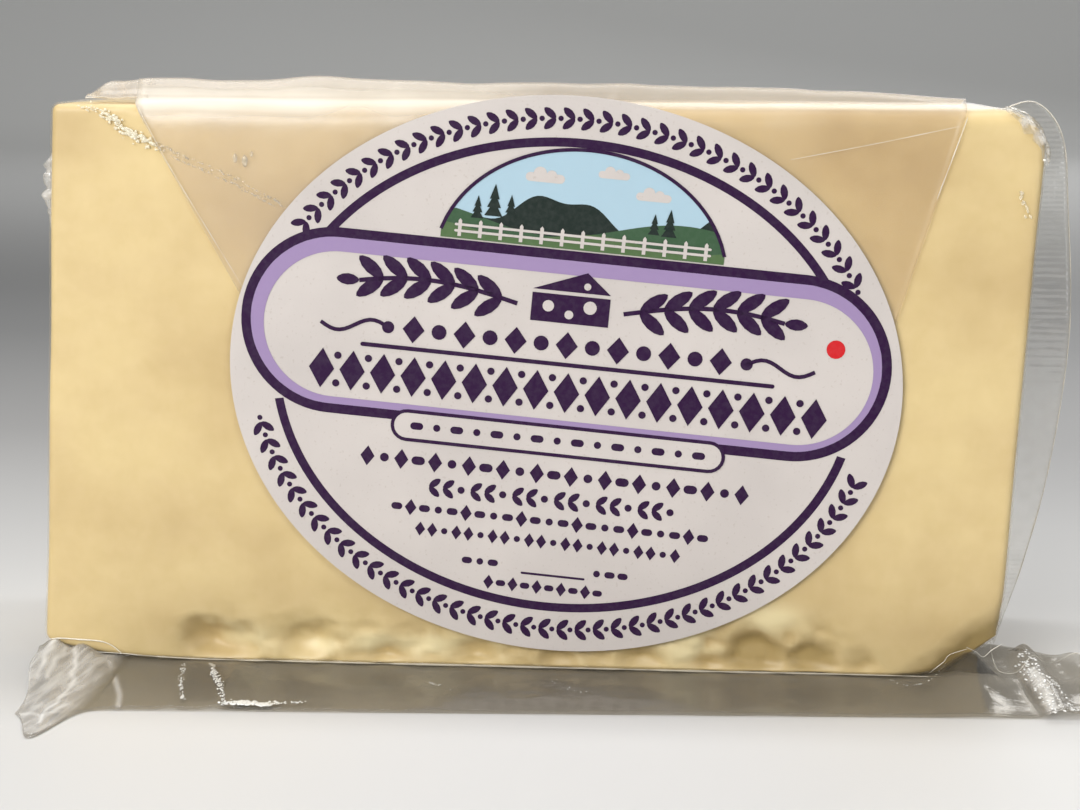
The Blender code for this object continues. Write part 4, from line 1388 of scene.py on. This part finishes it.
def press(bm, name, material, thickness, height):
    """Cuts flat shapes finely enough to follow the paper, lays them on it and gives them a thickness."""
    bmesh.ops.remove_doubles(bm, verts=bm.verts[:], dist=1e-7)
    for axis in (0, 1):
        low = min(v.co[axis] for v in bm.verts)
        high = max(v.co[axis] for v in bm.verts)
        normal = Vector((1.0 - axis, float(axis), 0.0))
        for i in range(math.ceil(low / PAPER_STEP), math.floor(high / PAPER_STEP) + 1):
            all_of_it = bm.verts[:] + bm.edges[:] + bm.faces[:]
            middle = normal * (i * PAPER_STEP)
            bmesh.ops.bisect_plane(bm, geom=all_of_it, dist=1e-8, plane_co=middle, plane_no=normal)
    for vertex in bm.verts:
        vertex.co = on_label(vertex.co.x, vertex.co.y, height + vertex.co.z)
    bmesh.ops.recalc_face_normals(bm, faces=bm.faces[:])
    for face in bm.faces:
        if face.normal.y > 0:
            face.normal_flip()
    mesh = bpy.data.meshes.new(name)
    bm.to_mesh(mesh)
    bm.free()
    mesh.materials.append(material)
    thicken(ride_piece(mesh, CAD_LABEL), thickness, 1.0)


def make_label():
    """The paper label and its print, each colour a piece of its own that lies on the paper."""
    inks = {name: bmesh.new() for name in INK_COLOURS}
    for draw in (draw_frame, draw_borders, draw_banner, draw_foot, draw_view):
        draw(inks)
    sheet = bmesh.new()
    ink_shape(sheet, ellipse(LABEL_WIDTH / 2 / MM, LABEL_HEIGHT / 2 / MM, 240)[:-1], 0)
    paper = paper_material()
    press(sheet, "label_paper", paper, PAPER, 0.0)
    for name, bm in inks.items():
        material = paper if name == "paper" else ink_material(f"ink_{name}", INK_COLOURS[name])
        press(bm, f"label_print_{name}", material, INK, PAPER)


# The camera and the studio


def make_camera():
    forward = Vector((-math.sin(CAMERA_AZIMUTH) * math.cos(CAMERA_PITCH),
                      math.cos(CAMERA_AZIMUTH) * math.cos(CAMERA_PITCH), -math.sin(CAMERA_PITCH)))
    level = Vector((math.cos(CAMERA_AZIMUTH), math.sin(CAMERA_AZIMUTH), 0.0))
    upright = level.cross(forward)
    right = level * math.cos(CAMERA_ROLL) + upright * math.sin(CAMERA_ROLL)
    up = upright * math.cos(CAMERA_ROLL) - level * math.sin(CAMERA_ROLL)
    data = bpy.data.cameras.new("camera")
    data.lens = CAMERA_LENS
    data.sensor_width = 36.0
    data.clip_start = 0.01
    camera = place_object("camera", data)
    turned = Matrix((right, up, -forward)).transposed().to_4x4()
    camera.matrix_world = Matrix.Translation(CAMERA_PLACE) @ turned
    bpy.context.scene.camera = camera


def soft_box(name, place, target, size, power, colour):
    data = bpy.data.lights.new(name, "AREA")
    data.shape = "RECTANGLE"
    data.size, data.size_y = size
    data.energy = power
    data.color = colour
    light = place_object(name, data)
    light.location = place
    light.rotation_euler = (Vector(target) - Vector(place)).to_track_quat("-Z", "Y").to_euler()
    light.visible_camera = False


def make_floor():
    """A pale floor with painted shade that darkens it further back, sweeping up to a pale wall."""

    def surface(across, back):
        reach = mix(*FLOOR_ENDS, back)
        rise = max(0.0, reach - FLOOR_TURN)
        swept = FLOOR_TURN + 0.9 * math.sin(min(1.0, rise) * math.pi / 2)
        return Vector((mix(-FLOOR_HALF_WIDTH, FLOOR_HALF_WIDTH, across), min(reach, swept), 1.5 * rise**2))

    points, faces = grid_sheet(surface, 4, 60)
    mesh = smooth_mesh("studio_floor", points, faces)
    material, tree = new_material("studio_floor")
    place = add_node(tree, "TexCoord", {})["Object"]
    depth = add_node(tree, "SeparateXYZ", {"Vector": place})["Y"]
    painted_falloff = ramp(tree, depth, 0.0, 0.26, FLOOR_SHADE_COLOURS)
    rise = add_node(tree, "MapRange", {"Value": depth, "From Min": 0.35, "From Max": 1.3})["Result"]
    colour = blend(tree, rise, painted_falloff, WALL_COLOUR)
    solid_surface(tree, {"Base Color": colour, "Roughness": 0.55})
    mesh.materials.append(material)
    floor = place_object("studio_floor", mesh)


def make_studio():
    """The floor, soft boxes in front, above and behind, and an even pale surround."""
    make_floor()
    for light in LIGHTS:
        soft_box(*light)
    world = bpy.data.worlds.new("studio")
    world.use_nodes = True
    background = world.node_tree.nodes["Background"]
    background.inputs["Color"].default_value = (0.90, 0.91, 0.92, 1.0)
    background.inputs["Strength"].default_value = 0.17
    bpy.context.scene.world = world
    bpy.context.scene.view_settings.view_transform = "Standard"


def main():
    make_camera()
    make_studio()
    films = {name: film_material("film_" + name, *values) for name, values in FILMS.items()}
    edge = films["edge"]
    make_cheese()
    make_skin(films["skin"])
    make_crumple(films["seal"])
    make_flap(films["flap"], edge)
    make_tuck(films["flap"], edge)
    make_seal("pouch_seal_right", RIGHT_SEAL, 1, 1.0, 0.0, 0.05, films["seal"], edge)
    make_seal("pouch_seal_left", LEFT_SEAL, -1, 0.3, 0.7 * MM, 0.4, films["seal"], edge)
    make_skirt(films["skirt_under_shade_tinted"], films["skirt"])
    make_painted_glints(films["painted_glint"])
    make_seam(films["seam"])
    make_edge_highlights(edge)
    make_label()


main()
